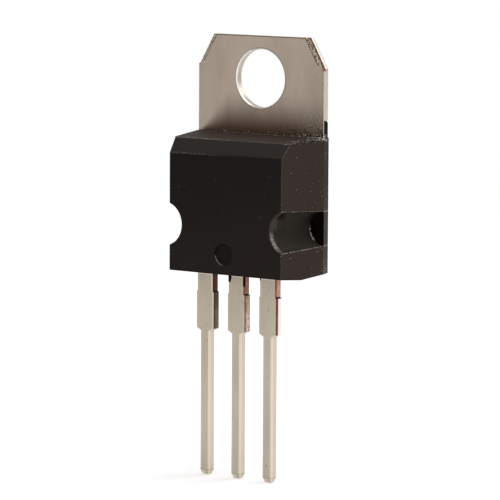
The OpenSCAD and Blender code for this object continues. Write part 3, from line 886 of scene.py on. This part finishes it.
class Finish:
    """The nodes of a material with a Principled shader. Place is the Object coordinate in millimetres."""

    def __init__(self, name, **shader):
        self.material = bpy.data.materials.new(name)
        self.material.use_nodes = True
        self.tree = self.material.node_tree
        self.tree.nodes.clear()
        self.output = self.tree.nodes.new("ShaderNodeOutputMaterial")
        self.shader = self.tree.nodes.new("ShaderNodeBsdfPrincipled")
        self.tree.links.new(self.shader.outputs[0], self.output.inputs[0])
        self.set(**shader)
        metres = self.node("ShaderNodeTexCoord", output="Object")
        self.place = self.node("ShaderNodeVectorMath", {"operation": "SCALE"}, {0: metres, "Scale": 1 / MM})

    def node(self, kind, settings=None, inputs=None, output=0):
        """Adds a node, applies its settings, fills its sockets with values or links, returns an output."""
        node = self.tree.nodes.new(kind)
        for key, value in (settings or {}).items():
            setattr(node, key, value)
        for key, value in (inputs or {}).items():
            self.fill(node.inputs[key], value)
        return Term(self, node.outputs[output])

    def fill(self, socket, value):
        """Links a Term to the socket, or sets the socket's own value."""
        if isinstance(value, Term):
            self.tree.links.new(value.socket, socket)
        elif socket.type == "RGBA":
            socket.default_value = (*value, 1)
        else:
            socket.default_value = value

    def set(self, **values):
        """Fills sockets of the Principled shader, named with underscores for spaces."""
        for key, value in values.items():
            self.fill(self.shader.inputs[key.replace("_", " ")], value)

    def axes(self):
        """The three coordinates of the place, in millimetres."""
        return [self.node("ShaderNodeSeparateXYZ", None, {0: self.place}, axis) for axis in "XYZ"]

    def noise(self, size, detail=2, roughness=0.5, stretch=(1, 1, 1), offset=(0, 0, 0)):
        """Noise from 0 to 1 with features about size millimetres wide, longer where stretch is above 1."""
        scale = tuple(1 / (size * s) for s in stretch)
        mapping = {"Vector": self.place, "Location": offset, "Scale": scale}
        place = self.node("ShaderNodeMapping", None, mapping)
        values = {"Vector": place, "Scale": 1, "Detail": detail, "Roughness": roughness}
        return self.node("ShaderNodeTexNoise", None, values, "Fac")

    def ramp(self, value, low, high, start=0.0, end=1.0, kind="SMOOTHSTEP"):
        """Goes smoothly, or evenly where kind is LINEAR, from start to end as value goes from low to high."""
        if low > high:
            low, high, start, end = high, low, end, start
        return self.node(
            "ShaderNodeMapRange", {"interpolation_type": kind},
            {"Value": value, "From Min": low, "From Max": high, "To Min": start, "To Max": end}, "Result",
        )

    def near(self, distance, reach, full):
        """1 where the distance is below the full share of the reach, and 0 from the reach on."""
        return self.ramp(abs(distance), reach, full * reach)

    def mix(self, factor, a, b):
        """Mixes two colours."""
        return self.node("ShaderNodeMix", {"data_type": "RGBA"}, {0: factor, 6: a, 7: b}, 2)

    def mark(self):
        """The mark that Shell keeps on each face."""
        return self.node("ShaderNodeAttribute", {"attribute_name": "mark"}, None, "Fac")

    def bump(self, height, distance):
        """Height from 0 to 1 raises the surface by up to distance millimetres."""
        return self.node("ShaderNodeBump", None, {"Height": height, "Distance": distance * MM}, "Normal")


def toned(tint, share=1):
    """The colour as a tuple, with its red, green and blue multiplied by the share."""
    return tuple(c * share for c in tint)


def in_millimetres(sizes):
    """The sizes of a group by name."""
    return {name: getattr(sizes, name) / MM for name in type(sizes).__annotations__}


def finish_piece(piece, material):
    """Gives a piece its material and its slot, and lets it ride on the root."""
    piece.data.materials.clear()
    piece.data.materials.append(material)
    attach(piece, "root")


def moulding_finish(colours, sizes, strip):
    """Black moulding compound: smooth front, rougher sides, rubbed edges, and glossier notch lips with
    painted highlights.

    Each face is found by a distance that is nought on it, and an edge is where two of those are near nought.
    """
    finish = Finish("Moulding compound", IOR=1.5, Specular_IOR_Level=0.06, Coat_Roughness=0.3)
    close = partial(finish.near, full=0.3)
    x, y, z = finish.axes()
    mm = in_millimetres(sizes)
    tab = strip.thickness / MM
    reach = mm["depth"] - tab

    # Distances from the faces
    aside = abs(x)
    ahead = (-tab - y).math("MAXIMUM", 0)
    front = y + mm["depth"]
    side = mm["half_width"] - aside - ahead * (mm["draft"] / reach)
    slope = -mm["top_drop"] - ahead * (mm["top_fall"] / (reach - mm["bevel_depth"]))
    bevel_tilt = mm["bevel_height"] / mm["bevel_depth"]
    bevel = front * bevel_tilt - (mm["top_drop"] + mm["top_fall"] + mm["bevel_height"])
    top = slope.math("MINIMUM", bevel) - z
    level = z + mm["top_drop"]
    foot = z + mm["foot_drop"]
    lowest_line = z + mm["bulge_drop"]

    # Distances from a notch's cone, from its centre's height, and across its wall along a slanting line
    lean = finish.ramp(y, -mm["depth"], -tab, 0, mm["notch_lean"], "LINEAR")
    across = aside - lean - (mm["half_width"] - mm["notch_inset"])
    along = z + mm["notch_drop"]
    away = (across * across + along * along).math("SQRT")
    mouth_end = mm["mouth_depth"] - mm["depth"]
    cone = finish.ramp(y, mouth_end, -tab, mm["notch_mouth"], mm["notch_floor"], "LINEAR")
    flare = finish.ramp(y, -mm["depth"], mouth_end, mm["notch_front"] - mm["notch_mouth"], 0, "LINEAR")
    notch = away - cone - flare
    slanted = aside + WALL_SLANT * y

    # Patterns
    grain = finish.noise(0.09, 3, 0.6)
    cloud = finish.noise(1.8, 3, 0.6)
    speck = finish.noise(0.085, 1, 0.3, offset=(3, 1, 7))
    chip = finish.noise(0.13, 2, 0.5, offset=(8, 2, 5))
    patch = finish.ramp(finish.noise(0.7, 2, 0.5, offset=(1, 9, 4)), 0.45, 0.6)
    rubbed = finish.ramp(grain + 0.45 * cloud, 0.78, 1.15)

    # Places on the faces
    mark = finish.mark()
    rough_face = finish.ramp(abs(mark - OTHER_FACES), 0.8, 0.2)
    disc = finish.ramp(mark, EJECTOR_MARK - 0.5, EJECTOR_MARK - 0.1)
    flat = finish.ramp(front, 0.09, 0.03) * (1 - rough_face)
    rear = finish.ramp(y, -tab - 0.05, -tab + 0.03)
    right_end = finish.ramp(x, 3.2, 4.7) * close(top, 0.35) * finish.ramp(level, -0.44, -0.24)
    joint = close(y + tab, 0.3) * close(top, 0.3)
    inside = finish.ramp(notch, 0.1, 0.03) * finish.ramp(front, 0.03, 0.08)
    inside = inside * finish.ramp(y, 0.05 - tab, 0.02 - tab)
    # Painted light: the band of a notch's wall that the lamps reach, which counts as lip
    lit = finish.ramp(slanted, 1.08, 0.94) * finish.ramp(along, -0.1, 0.4)
    lip = inside * finish.ramp(y, mouth_end + 0.1, mouth_end).math("MAXIMUM", lit)
    wall = inside * (1 - lip)
    nook = finish.ramp(front + abs(along + 1.3), 0.45, 0.15) * close(side, 0.15)
    foot_corner = close(side, 0.05) * finish.ramp(y, -1.3, -0.5) * finish.ramp(foot, 1.4, 0.4)

    # Edges where the compound is rubbed
    creases = finish.ramp(x, 1.5, -4.0, 0, 0.3) * close(bevel - z, 0.06) * close(front, 0.08)
    creases = creases + finish.ramp(x, -3.0, 1.0, 0.7, 0.25) * close(slope - bevel, 0.07) * close(top, 0.05)
    creases = creases + 0.14 * close(side, 0.07) * close(front, 0.09) * finish.ramp(notch, 0.05, 0.1)
    upper_edge = finish.ramp(level, -0.94, -0.14, 0.25, 0.8) * close(top, 0.07) * (1 - 0.5 * right_end)
    edges = close(side, 0.06) * (upper_edge + 0.8 * close(notch, 0.06)) + creases

    # The compound's tone on each face: the bevel and, in part, the rougher faces are painted lighter as light
    # falls on them
    low = finish.ramp(level - 0.25 * x, -2.34, -7.84)
    # The front lightens towards the bottom and the left
    base = finish.mix(low, toned(colours.moulding), toned(colours.moulding, 1.7))
    base = finish.mix(flat, toned(colours.bevel), base)
    base = finish.mix(rough_face, base, toned(colours.grain))
    base = finish.mix(disc, base, toned(colours.moulding, 0.75))
    base = finish.mix(0.55 * right_end, base, toned(colours.grain, 0.4))
    worn_rear = rear * rough_face * finish.ramp(level, -1.34, -7.34, 0.3, 0.95)
    base = finish.mix((0.3 * rubbed + worn_rear).math("MINIMUM", 1), base, toned(colours.filler_and_light))
    # Paler on the lips and, as painted light, on the lit band of each notch's wall
    base = finish.mix(0.45 * lip, base, toned(colours.filler_and_light))
    base = finish.mix(0.7 * wall, base, NOTCH_WALL)

    # Black: painted shade deep in the notches and along the underside's front edge and the sides' rear edges,
    # and the keys and the flash
    # Painted shade: a notch's wall darkens towards its floor, and the floor is painted black
    deep = wall * (finish.ramp(y, -1.6, -0.7) * finish.ramp(along, -0.2, 0.9) * 0.8 + close(y + tab, 0.07))
    shaded = finish.ramp(slanted, 1.8, 1.4) * finish.ramp(along, 0.65, 0.95)
    shade = wall * (finish.ramp(along, 1.1, 1.3) + shaded + 0.6 * finish.ramp(along, -1.1, -1.3))
    keys = finish.ramp(level, 0.02, 0.06)
    flash = finish.ramp(lowest_line, -0.01, -0.04)
    # Painted shade along the underside's front edge and near the sides' rear edges
    lowest = 0.7 * finish.ramp(foot, 0.08, 0.04) * finish.ramp(front, 1.2, 0.8)
    lowest = lowest + 0.7 * finish.ramp(y, -0.13, -0.09) * close(side, 0.05)
    black = (deep + 0.85 * shade + keys + flash + lowest).math("MINIMUM", 1)
    base = finish.mix(black, base, BLACK_AND_SHADE)

    # Painted highlights on the notches' lips, on the ejector mark's rim and along the notches' floor
    highlights = lip * finish.ramp(along, 0.1, -0.4) * finish.ramp(along, -1.35, -0.95)
    highlights = highlights * finish.ramp(chip, 0.25, 0.6)
    rim_x, rim_z = x + mm["mark_shift"], z + mm["mark_drop"]
    rim = mm["mark"] ** 2
    facing = disc * finish.ramp(front, 0.02, 0.05)
    facing = facing * finish.ramp(rim_x * rim_x + rim_z * rim_z, rim - 0.05, rim - 0.02)
    crescent = facing * finish.ramp(rim_x + rim_z, -0.72, -0.92)
    highlights = highlights + crescent + facing * finish.ramp(rim_x - rim_z, 0.9, 1.02) * 0.4
    floor_arc = inside * close(notch, 0.06) * close(y + tab, 0.12) * finish.ramp(along, 0.2, 0.0)
    floor_arc = floor_arc * finish.ramp(along, -1.0, -0.7) * finish.ramp(chip, 0.42, 0.5)

    # Dust and chips, which gather at the edges and in the corners
    worn = edges * finish.ramp(speck + 0.4 * chip, 0.62, 0.8, 0.1, 0.8)
    places = 0.24 * joint + (0.1 + 0.11 * patch) * right_end + 0.1 * edges + 0.07 * rear + 0.025 * rough_face
    places = places + 0.2 * nook + 0.12 * foot_corner
    dusty = finish.ramp(speck + places, 0.82, 0.87) * (1 - disc)
    # The pale colour of worn edges and dusty places, and of painted highlights
    pale = (worn + 0.75 * highlights + floor_arc + dusty * (1 - wall)).math("MINIMUM", 1)
    base = finish.mix(pale, base, toned(colours.dust_and_highlight))
    chipped = chip + 0.13 * joint + 0.09 * right_end + 0.1 * nook + 0.06 * rough_face
    # White on chips, and as a painted highlight along each notch's floor
    bright = (finish.ramp(chipped, 0.8, 0.84) + 0.6 * floor_arc) * (1 - disc)
    base = finish.mix(bright.math("MINIMUM", 1), base, CHIP_AND_HIGHLIGHT_WHITE)
    finish.set(
        Base_Color=base,
        Roughness=finish.ramp(cloud, 0.2, 0.8, 0.45, 0.58) + 0.12 * rough_face,
        Coat_Weight=0.2 * lip + 0.1 * edges,
        Normal=finish.bump(grain * (0.35 + rough_face), 0.01),
    )
    return finish.material


class Trim(NamedTuple):
    """What the punch left on a lead's edges above the shoulders, with lengths in millimetres."""

    # Colours of the stub, of its streaks, of the wide part and of that part's lower end
    stub: tuple
    streaks: tuple
    wide: tuple
    lower: tuple
    # How far the bare copper reaches round onto the front
    start: float
    # Range of depths behind the front that kept its plating on the wide part
    kept: tuple = None
    # 1 where a dark gap shows along the right front edge at the moulding, and else 0
    gap: float = 0.0


TRIMS = {
    -1: Trim(
        (0.06, 0.02, 0.011), (0.11, 0.042, 0.024), (0.12, 0.085, 0.056), (0.19, 0.145, 0.105), start=0.03
    ),
    0: Trim(
        (0.5, 0.2, 0.12), (0.24, 0.1, 0.06), (0.54, 0.35, 0.25), (0.7, 0.52, 0.44), start=0.08, gap=1.0
    ),
    1: Trim(
        (0.76, 0.38, 0.31), (0.48, 0.24, 0.16), (0.36, 0.16, 0.11), (0.42, 0.24, 0.17), start=0.08,
        kept=(0.15, 0.6),
    ),
}


def plating_finish(name, scene, lead):
    """Satin tin plating over copper. The trimmed edges above the shoulders are bare copper.

    Lead is -1, 0 or 1, counted from the left, and 0 has the tab too.
    """
    colours = scene.regulator_colours
    finish = Finish(name, Metallic=1.0)
    close = partial(finish.near, full=0.5)
    x, y, z = finish.axes()
    mm = in_millimetres(scene.regulator_strip)
    thick, lead_y = mm["thickness"], STRIP_LOW.y / MM
    stub_end, wide_end = -mm["stub_drop"], -mm["wide_drop"]
    trim = TRIMS[lead]
    patterns = SimpleNamespace(
        cloud=finish.noise(1.4, 3, 0.55, (1, 1, 3)),
        fine=finish.noise(0.07, 2, 0.6),
        blot=finish.noise(0.22, 3, 0.65),
        mottle=finish.noise(0.11, 2, 0.6, (1, 1, 1.5), (7, 3, 2)),
    )
    cloud, fine, blot, mottle = patterns.cloud, patterns.fine, patterns.blot, patterns.mottle
    brushed = finish.noise(0.05, 2, 0.6, (1, 1, 12))
    scratch = finish.ramp(finish.noise(0.07, 1, 0.3, (1, 1, 7), (4, 9, 3)), 0.76, 0.8)
    streak = finish.ramp(finish.noise(0.13, 3, 0.7, (1, 1, 4), (5, 2, 1)), 0.42, 0.58)
    cut = finish.ramp(abs(finish.mark() - CUT_FACES), 0.45, 0.2)

    # Places on the lead: under the stub, under the moulding, on its front, and in from its side
    offset = x - lead * mm["pitch"]
    root = z - BODY_LOW.z / MM
    depth = y - lead_y
    below = finish.ramp(z, stub_end + 0.02, stub_end - 0.02)
    half = finish.ramp(z, wide_end, wide_end - mm["shoulder"], mm["wide"], mm["lead"], "LINEAR")
    half = (below * (half - mm["stub"])) + mm["stub"]
    front = finish.ramp(depth, 0.14, 0.08)
    inset = half - abs(offset)
    right = finish.ramp(offset, 0, 0.05)
    flank = finish.ramp(inset - trim.start * right, 0.045, 0.025)
    roll = front * finish.ramp(inset, 0.16, 0.12)
    under = finish.ramp(root, -0.13, -0.06)
    tip = finish.ramp(z + mm["tip_drop"], mm["tip_length"] + 0.03, mm["tip_length"] - 0.03)
    tip_start = close(z + mm["tip_drop"] - mm["tip_length"], 0.06)

    # Plated flats, with a painted highlight on the rolled front edges, strongest on the right ones, and on
    # the tips
    plate = finish.mix(finish.ramp(cloud, 0.35, 0.7), toned(colours.lead), toned(colours.lead, 0.93))
    # Painted shade: the plating darkens towards the moulding above it
    plate = finish.mix(finish.ramp(root, -3.68, 0.02, 0, 0.3), plate, toned(colours.lead, 0.6))
    plate = finish.mix(finish.ramp(fine, 0.55, 0.75, 0, 0.3), plate, toned(colours.lead, 0.62))
    plate = finish.mix(finish.ramp(blot, 0.7, 0.74) * 0.3, plate, toned(colours.lead, 0.4))
    plate = finish.mix(scratch * finish.ramp(depth, 0.1, 0.02) * 0.7, plate, SCRATCH)
    plate = finish.mix(cut, plate, toned(colours.edge))
    # Painted highlight on the rolled front edges, mostly the right ones; the same paler colour goes on a band
    # just under the moulding
    rolled = (roll * (0.15 + 0.75 * right) + 0.7 * under).math("MINIMUM", 1)
    plate = finish.mix(rolled, plate, toned(colours.rolled))
    left_line = 0.6 * front * (1 - right) * finish.ramp(inset, 0.06, 0.02)
    plate = finish.mix(left_line, plate, toned(colours.tarnish))
    # Painted highlight on the left half of each tip's bevels
    plate = finish.mix(0.5 * tip * (1 - right), plate, toned(colours.rolled))
    plate = finish.mix(tip_start * 0.4, plate, toned(colours.lead, 0.5))

    # Trimmed edges: copper, tarnish, what is left of the plating, and a black line that is a painted
    # reflection of the moulding
    bare = flank * finish.ramp(z, wide_end - 0.06, wide_end) * finish.ramp(root, 0.52, 0.37)
    # The line at the step from the stub to the wide part, where a painted reflection of the moulding goes
    ledge_reflection = close(z - stub_end, 0.07)
    stub = finish.mix(streak, trim.stub, trim.streaks)
    wide = finish.mix(finish.ramp(z, stub_end - 0.9, stub_end - 1.3), trim.wide, trim.lower)
    wide = finish.mix(finish.ramp(mottle, 0.48, 0.6) * 0.65, wide, toned(trim.wide, 0.4))
    raw = finish.mix(below, stub, wide)
    rims = finish.ramp(depth, 0.13, 0.08) + finish.ramp(depth, thick - 0.1, thick - 0.05)
    raw = finish.mix(0.6 * rims, raw, toned(colours.tarnish))
    # Painted reflection: a black line where the step's upper face would mirror the black moulding
    raw = finish.mix(ledge_reflection, raw, LEDGE_REFLECTION)
    gap = trim.gap * finish.ramp(root, -0.73, -0.68) * front * right * finish.ramp(inset, 0.15, 0.12)
    if trim.kept:
        start, end = trim.kept
        kept = below * finish.ramp(depth, start - 0.03, start) * finish.ramp(depth, end + 0.03, end)
        plate = finish.mix(bare * kept, plate, KEPT_PLATING)
        bare = bare * (1 - kept * (1 - ledge_reflection))
    height = brushed + 0.5 * fine + blot * bare

    if lead == 0:
        # The tab's plating gives way to the lead's on the bend, inside the moulding
        on_tab = finish.ramp(z + mm["bend_end"], 0.16, 0.66)
        sheet = tab_plating(finish, colours, mm, scene.regulator_moulding.top_drop / MM, patterns)
        plate = finish.mix(on_tab, plate, sheet)
        bare = bare * (1 - on_tab)

    finish.set(
        Base_Color=finish.mix(gap, finish.mix(bare, plate, raw), GAP_BLACK),
        Roughness=finish.ramp(cloud, 0.3, 0.7, 0.34, 0.42) + 0.2 * bare,
        Normal=finish.bump(height, 0.0025),
    )
    return finish.material


def tab_plating(finish, colours, mm, body_drop, patterns):
    """The tab's colour: plating with a painted reflection of the dark moulding near it, dark outlines and
    coined corners.

    Body_drop is how far the moulding's top lies below the hole's centre, in millimetres.
    """
    close = partial(finish.near, full=0.5)
    x, y, z = finish.axes()
    thick, side, top = mm["thickness"], mm["half_width"], mm["rise"]
    corner_z = top - mm["corner_height"]
    spot = finish.noise(0.09, 1, 0.3, offset=(2, 6, 1))
    hatch = finish.noise(0.08, 1, 0.5, (1, 1, 1.4), (4, 4, 4))
    mark = finish.mark()

    # Places on the tab
    behind = y + thick
    rise = z + body_drop
    on_front = finish.ramp(behind, 0.03, 0.01)
    cut = finish.ramp(abs(mark - CUT_FACES), 0.45, 0.2)
    slanted = cut * finish.ramp(z, corner_z - 0.2, corner_z)
    bore_wall = close(mark - HOLE_WALL, 0.4)
    bore = mm["hole"] + mm["hole_roll"]
    ring = on_front * finish.ramp((x * x + z * z).math("SQRT"), bore + 0.07, bore + 0.02)
    # Painted highlight on the left part of the hole's rolled rim, which faces the lamps
    rim = bore_wall * finish.ramp(behind, 0.1, 0.04) * finish.ramp(x, -0.3, -1.0)
    coined = finish.ramp(mark, COINED_FACES - 0.4, COINED_FACES - 0.2)
    corner = (top - z) * (mm["corner_width"] / mm["corner_height"]) + side - mm["corner_width"] - abs(x)
    breadth = mm["coin_width"] * math.hypot(mm["corner_width"], mm["corner_height"]) / mm["corner_height"]
    # Dark lines along both edges of a coined bevel; the inner one is painted shade where the bevel steps down
    coin_edge_lines = coined * (finish.ramp(corner, breadth - 0.09, breadth - 0.04) + finish.ramp(corner, 0.09, 0.05))
    line = slanted * finish.ramp(behind, 0.26, 0.21)
    red = close(z - corner_z, 0.12) * finish.ramp(abs(x), side - 0.19, side - 0.13)

    # Painted reflection of the dark moulding in the satin tab: darker towards the moulding and reaching
    # highest at the left
    shallow = rise * (0.72 / (x + (side - 0.15)).math("MAXIMUM", 0.01)).math("MAXIMUM", 0.32)
    reflection_share = finish.ramp(shallow, 0.95, 0.0) * on_front
    outline = finish.ramp(x, side - 0.1, side - 0.05) * finish.ramp(spot, 0.4, 0.6, 0.2, 0.8)
    outline = on_front * (finish.ramp(z, top - 0.09, top - 0.04) + outline)
    # Painted reflection as well: the tab darkens towards its right and lower down
    across = finish.ramp(x, 0.5, 4.5) * finish.ramp(z, 2.0, -1.0)
    blotched = finish.ramp(x, 2.5, 5.0) * finish.ramp(patterns.mottle, 0.5, 0.62) * on_front
    blotched = blotched * finish.ramp(z, 0.5, -1.5)
    crumbs = on_front * finish.ramp(rise, 0.9, 0.1) * finish.ramp(x, 0.5, 2.5)
    crumbs = crumbs * finish.ramp(patterns.blot, 0.5, 0.58)
    litter = spot + 0.06 * finish.ramp(x, 0, 5) + 0.1 * finish.ramp(rise, 0.4, 0.0)

    sheet = finish.mix(finish.ramp(patterns.cloud, 0.35, 0.7), toned(colours.tab), toned(colours.tab, 0.9))
    sheet = finish.mix(finish.ramp(patterns.fine, 0.55, 0.75, 0, 0.3), sheet, toned(colours.tab, 0.6))
    sheet = finish.mix(finish.ramp(x + 2 * z, 6, -8) * 0.12, sheet, toned(colours.tab, 0.5))
    # Painted reflection of the dark moulding, and more of it towards the right and lower down
    sheet = finish.mix(reflection_share, sheet, toned(colours.moulding_reflection))
    sheet = finish.mix(0.16 * across, sheet, toned(colours.tab, 0.4))
    sheet = finish.mix(0.6 * ring, sheet, RING_SHADE)
    sheet = finish.mix(bore_wall, sheet, BORE)
    # Painted highlight on the hole's rim
    sheet = finish.mix(rim, sheet, BORE_RIM_HIGHLIGHT)
    sheet = finish.mix(cut, sheet, toned(colours.edge, 0.97))
    sheet = finish.mix(slanted * finish.ramp(z, top - 0.05, top - 0.1), sheet, CORNER_CUT)
    sheet = finish.mix(slanted * finish.ramp(y, -0.16, -0.12), sheet, CORNER_REAR)
    sheet = finish.mix(outline * 0.85, sheet, OUTLINE)
    sheet = finish.mix(coined, sheet, COIN)
    sheet = finish.mix(coined * finish.ramp(hatch, 0.47, 0.53) * 0.85, sheet, COIN_HATCH)
    # Painted shade at the coined bevels' inner edges, and a dark line at their outer edges
    sheet = finish.mix(coin_edge_lines.math("MINIMUM", 1) * 0.85, sheet, COIN_LINE_DARK)
    sheet = finish.mix(line, sheet, COPPER_SHADE)
    sheet = finish.mix(line * finish.ramp(spot, 0.5, 0.6), sheet, toned(colours.copper, 0.8))
    sheet = finish.mix(red * (0.5 * on_front + line).math("MINIMUM", 1), sheet, RED_STAIN)
    sheet = finish.mix(0.5 * blotched, sheet, toned(colours.tab, 0.7))
    sheet = finish.mix(0.7 * crumbs, sheet, CRUMBS)
    return finish.mix(finish.ramp(litter, 0.8, 0.84) * on_front, sheet, LITTER)


def plain_finish(name, tint, metallic, roughness, grain):
    """A hidden part's finish: its colour with slight clouds, and a grain of the given size in millimetres."""
    finish = Finish(name, Metallic=metallic)
    cloud = finish.noise(0.6, 3)
    fine = finish.noise(grain, 2)
    finish.set(
        Base_Color=finish.mix(finish.ramp(cloud, 0.3, 0.7), toned(tint), toned(tint, 0.8)),
        Roughness=finish.ramp(fine, 0.3, 0.7, roughness, roughness + 0.12),
        Normal=finish.bump(fine, 0.002),
    )
    return finish.material


class REGULATOR_OT_inner_parts(Operator):
    """Gives the chip, its solder and the bond wires their finishes"""

    bl_idname = "regulator.inner_parts"
    bl_label = "Chip and Wires"

    def execute(self, context):
        colours = context.scene.regulator_colours
        silicon = plain_finish("Passivated silicon", colours.silicon, 0.0, 0.12, 0.3)
        solder = plain_finish("Soft solder", colours.solder, 1.0, 0.4, 0.08)
        wire = plain_finish("Drawn wire", colours.wire, 1.0, 0.25, 0.05)
        finishes = {
            "silicon_die": silicon, "die_attach": solder,
            "input_wire": wire, "output_wire": wire, "ground_wire": wire,
        }
        for node, material in finishes.items():
            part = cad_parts[node]
            part.data.materials.clear()
            part.data.materials.append(material)
        return {"FINISHED"}


def is_seen(tree):
    """1 for a ray that the camera, a mirror or glass sends, and 0 for light that falls on a surface."""
    path = tree.nodes.new("ShaderNodeLightPath")
    total = path.outputs["Is Camera Ray"]
    for name in ("Is Glossy Ray", "Is Transmission Ray"):
        add = tree.nodes.new("ShaderNodeMath")
        add.operation = "ADD"
        add.use_clamp = True
        tree.links.new(total, add.inputs[0])
        tree.links.new(path.outputs[name], add.inputs[1])
        total = add.outputs[0]
    return total


class REGULATOR_OT_stage(Operator):
    """Builds the floor, the world, the lamps and the camera"""

    bl_idname = "regulator.stage"
    bl_label = "Stage"

    def execute(self, context):
        scene = context.scene
        stage = scene.regulator_stage
        scene.view_settings.view_transform = "Standard"
        self.make_world(scene, stage)
        self.make_floor(stage)
        for lamp in LAMPS:
            self.make_lamp(scene, *lamp)
        self.make_camera(scene, stage)
        return {"FINISHED"}

    def make_world(self, scene, stage):
        """White wherever it is seen, and a softer white where it lights the part."""
        world = bpy.data.worlds.new("Studio")
        scene.world = world
        world.use_nodes = True
        tree = world.node_tree
        tree.nodes.clear()
        output = tree.nodes.new("ShaderNodeOutputWorld")
        background = tree.nodes.new("ShaderNodeBackground")
        strength = tree.nodes.new("ShaderNodeMapRange")
        strength.inputs["To Min"].default_value = stage.daylight
        strength.inputs["To Max"].default_value = 1.0
        tree.links.new(is_seen(tree), strength.inputs["Value"])
        tree.links.new(strength.outputs["Result"], background.inputs["Strength"])
        background.inputs["Color"].default_value = (1, 1, 1, 1)
        tree.links.new(background.outputs[0], output.inputs[0])

    def make_floor(self, stage):
        """A pale sheet under the tips. It keeps the part's shadow, and is white where it is seen far out."""
        shell = Shell()
        half = stage.floor_width / 2
        z = STRIP_LOW.z - stage.floor_gap
        x, y = np.meshgrid(np.linspace(-half, half, 9), np.linspace(-half, half, 9))
        shell.sheet(np.stack([x, y, np.full(x.shape, z)], -1))
        floor = shell.build("floor", 0.1 * MM)
        floor.modifiers.clear()
        finish = Finish("Pale floor", Base_Color=(0.8, 0.8, 0.8), Roughness=0.9, Specular_IOR_Level=0.1)
        x, y, _ = finish.axes()
        far = finish.ramp((x * x + y * y).math("SQRT"), stage.shadow_reach / MM, stage.white_from / MM)
        shader = Term(finish, finish.shader.outputs[0])
        glow = finish.node("ShaderNodeEmission", None, {"Color": (1, 1, 1), "Strength": stage.glow})
        white = finish.node("ShaderNodeEmission", None, {"Color": (1, 1, 1), "Strength": 1.0})
        near = finish.node("ShaderNodeAddShader", None, {0: shader, 1: glow})
        seen = finish.node("ShaderNodeMixShader", None, {0: far, 1: near, 2: white})
        direct = Term(finish, is_seen(finish.tree))
        look = finish.node("ShaderNodeMixShader", None, {0: direct, 1: shader, 2: seen})
        finish.tree.links.new(look.socket, finish.output.inputs[0])
        floor.data.materials.append(finish.material)

    def make_lamp(self, scene, name, place, size, power):
        """A square soft box that faces the part."""
        data = bpy.data.lights.new(name, "AREA")
        data.shape, data.size, data.energy = "SQUARE", size, power
        lamp = bpy.data.objects.new(name, data)
        lamp.location = place
        lamp.rotation_mode = "QUATERNION"
        lamp.rotation_quaternion = (LAMP_AIM - Vector(place)).to_track_quat("-Z", "Y")
        scene.collection.objects.link(lamp)

    def make_camera(self, scene, stage):
        """The camera looks along (-sin az cos el, cos az cos el, -sin el) at the aim, turned by the roll."""
        az, el = stage.azimuth, stage.elevation
        forward = Vector((-math.sin(az) * math.cos(el), math.cos(az) * math.cos(el), -math.sin(el)))
        level = Vector((math.cos(az), math.sin(az), 0))
        above = level.cross(forward)
        right = level * math.cos(stage.roll) + above * math.sin(stage.roll)
        up = above * math.cos(stage.roll) - level * math.sin(stage.roll)
        data = bpy.data.cameras.new("Camera")
        data.sensor_fit, data.sensor_width, data.lens = "HORIZONTAL", SENSOR_WIDTH, stage.lens
        camera = bpy.data.objects.new("Camera", data)
        turn = Matrix((right, up, -forward)).transposed().to_4x4()
        camera.matrix_world = Matrix.Translation(Vector(stage.aim) - forward * stage.distance) @ turn
        scene.collection.objects.link(camera)
        scene.camera = camera


OPERATORS = (
    REGULATOR_OT_tab,
    REGULATOR_OT_outer_leads,
    REGULATOR_OT_moulding,
    REGULATOR_OT_inner_parts,
    REGULATOR_OT_stage,
)


class REGULATOR_PT_panel(Panel):
    """Buttons for the regulator's pieces and its stage"""

    bl_idname = "REGULATOR_PT_panel"
    bl_label = "Voltage Regulator"
    bl_space_type = "VIEW_3D"
    bl_region_type = "UI"
    bl_category = "Regulator"

    def draw(self, context):
        for operator in OPERATORS:
            self.layout.operator(operator.bl_idname)


GROUPS = {
    "regulator_strip": StripSizes,
    "regulator_moulding": MouldingSizes,
    "regulator_colours": FinishColours,
    "regulator_stage": StageSizes,
}


def register():
    for group in GROUPS.values():
        bpy.utils.register_class(group)
    for operator in OPERATORS:
        bpy.utils.register_class(operator)
    bpy.utils.register_class(REGULATOR_PT_panel)
    for name, group in GROUPS.items():
        setattr(bpy.types.Scene, name, PointerProperty(type=group))


def unregister():
    for name in GROUPS:
        delattr(bpy.types.Scene, name)
    bpy.utils.unregister_class(REGULATOR_PT_panel)
    for operator in reversed(OPERATORS):
        bpy.utils.unregister_class(operator)
    for group in GROUPS.values():
        bpy.utils.unregister_class(group)


def main():
    register()
    bpy.ops.regulator.tab()
    bpy.ops.regulator.outer_leads()
    bpy.ops.regulator.moulding()
    bpy.ops.regulator.inner_parts()
    bpy.ops.regulator.stage()


if __name__ == "__main__":
    main()
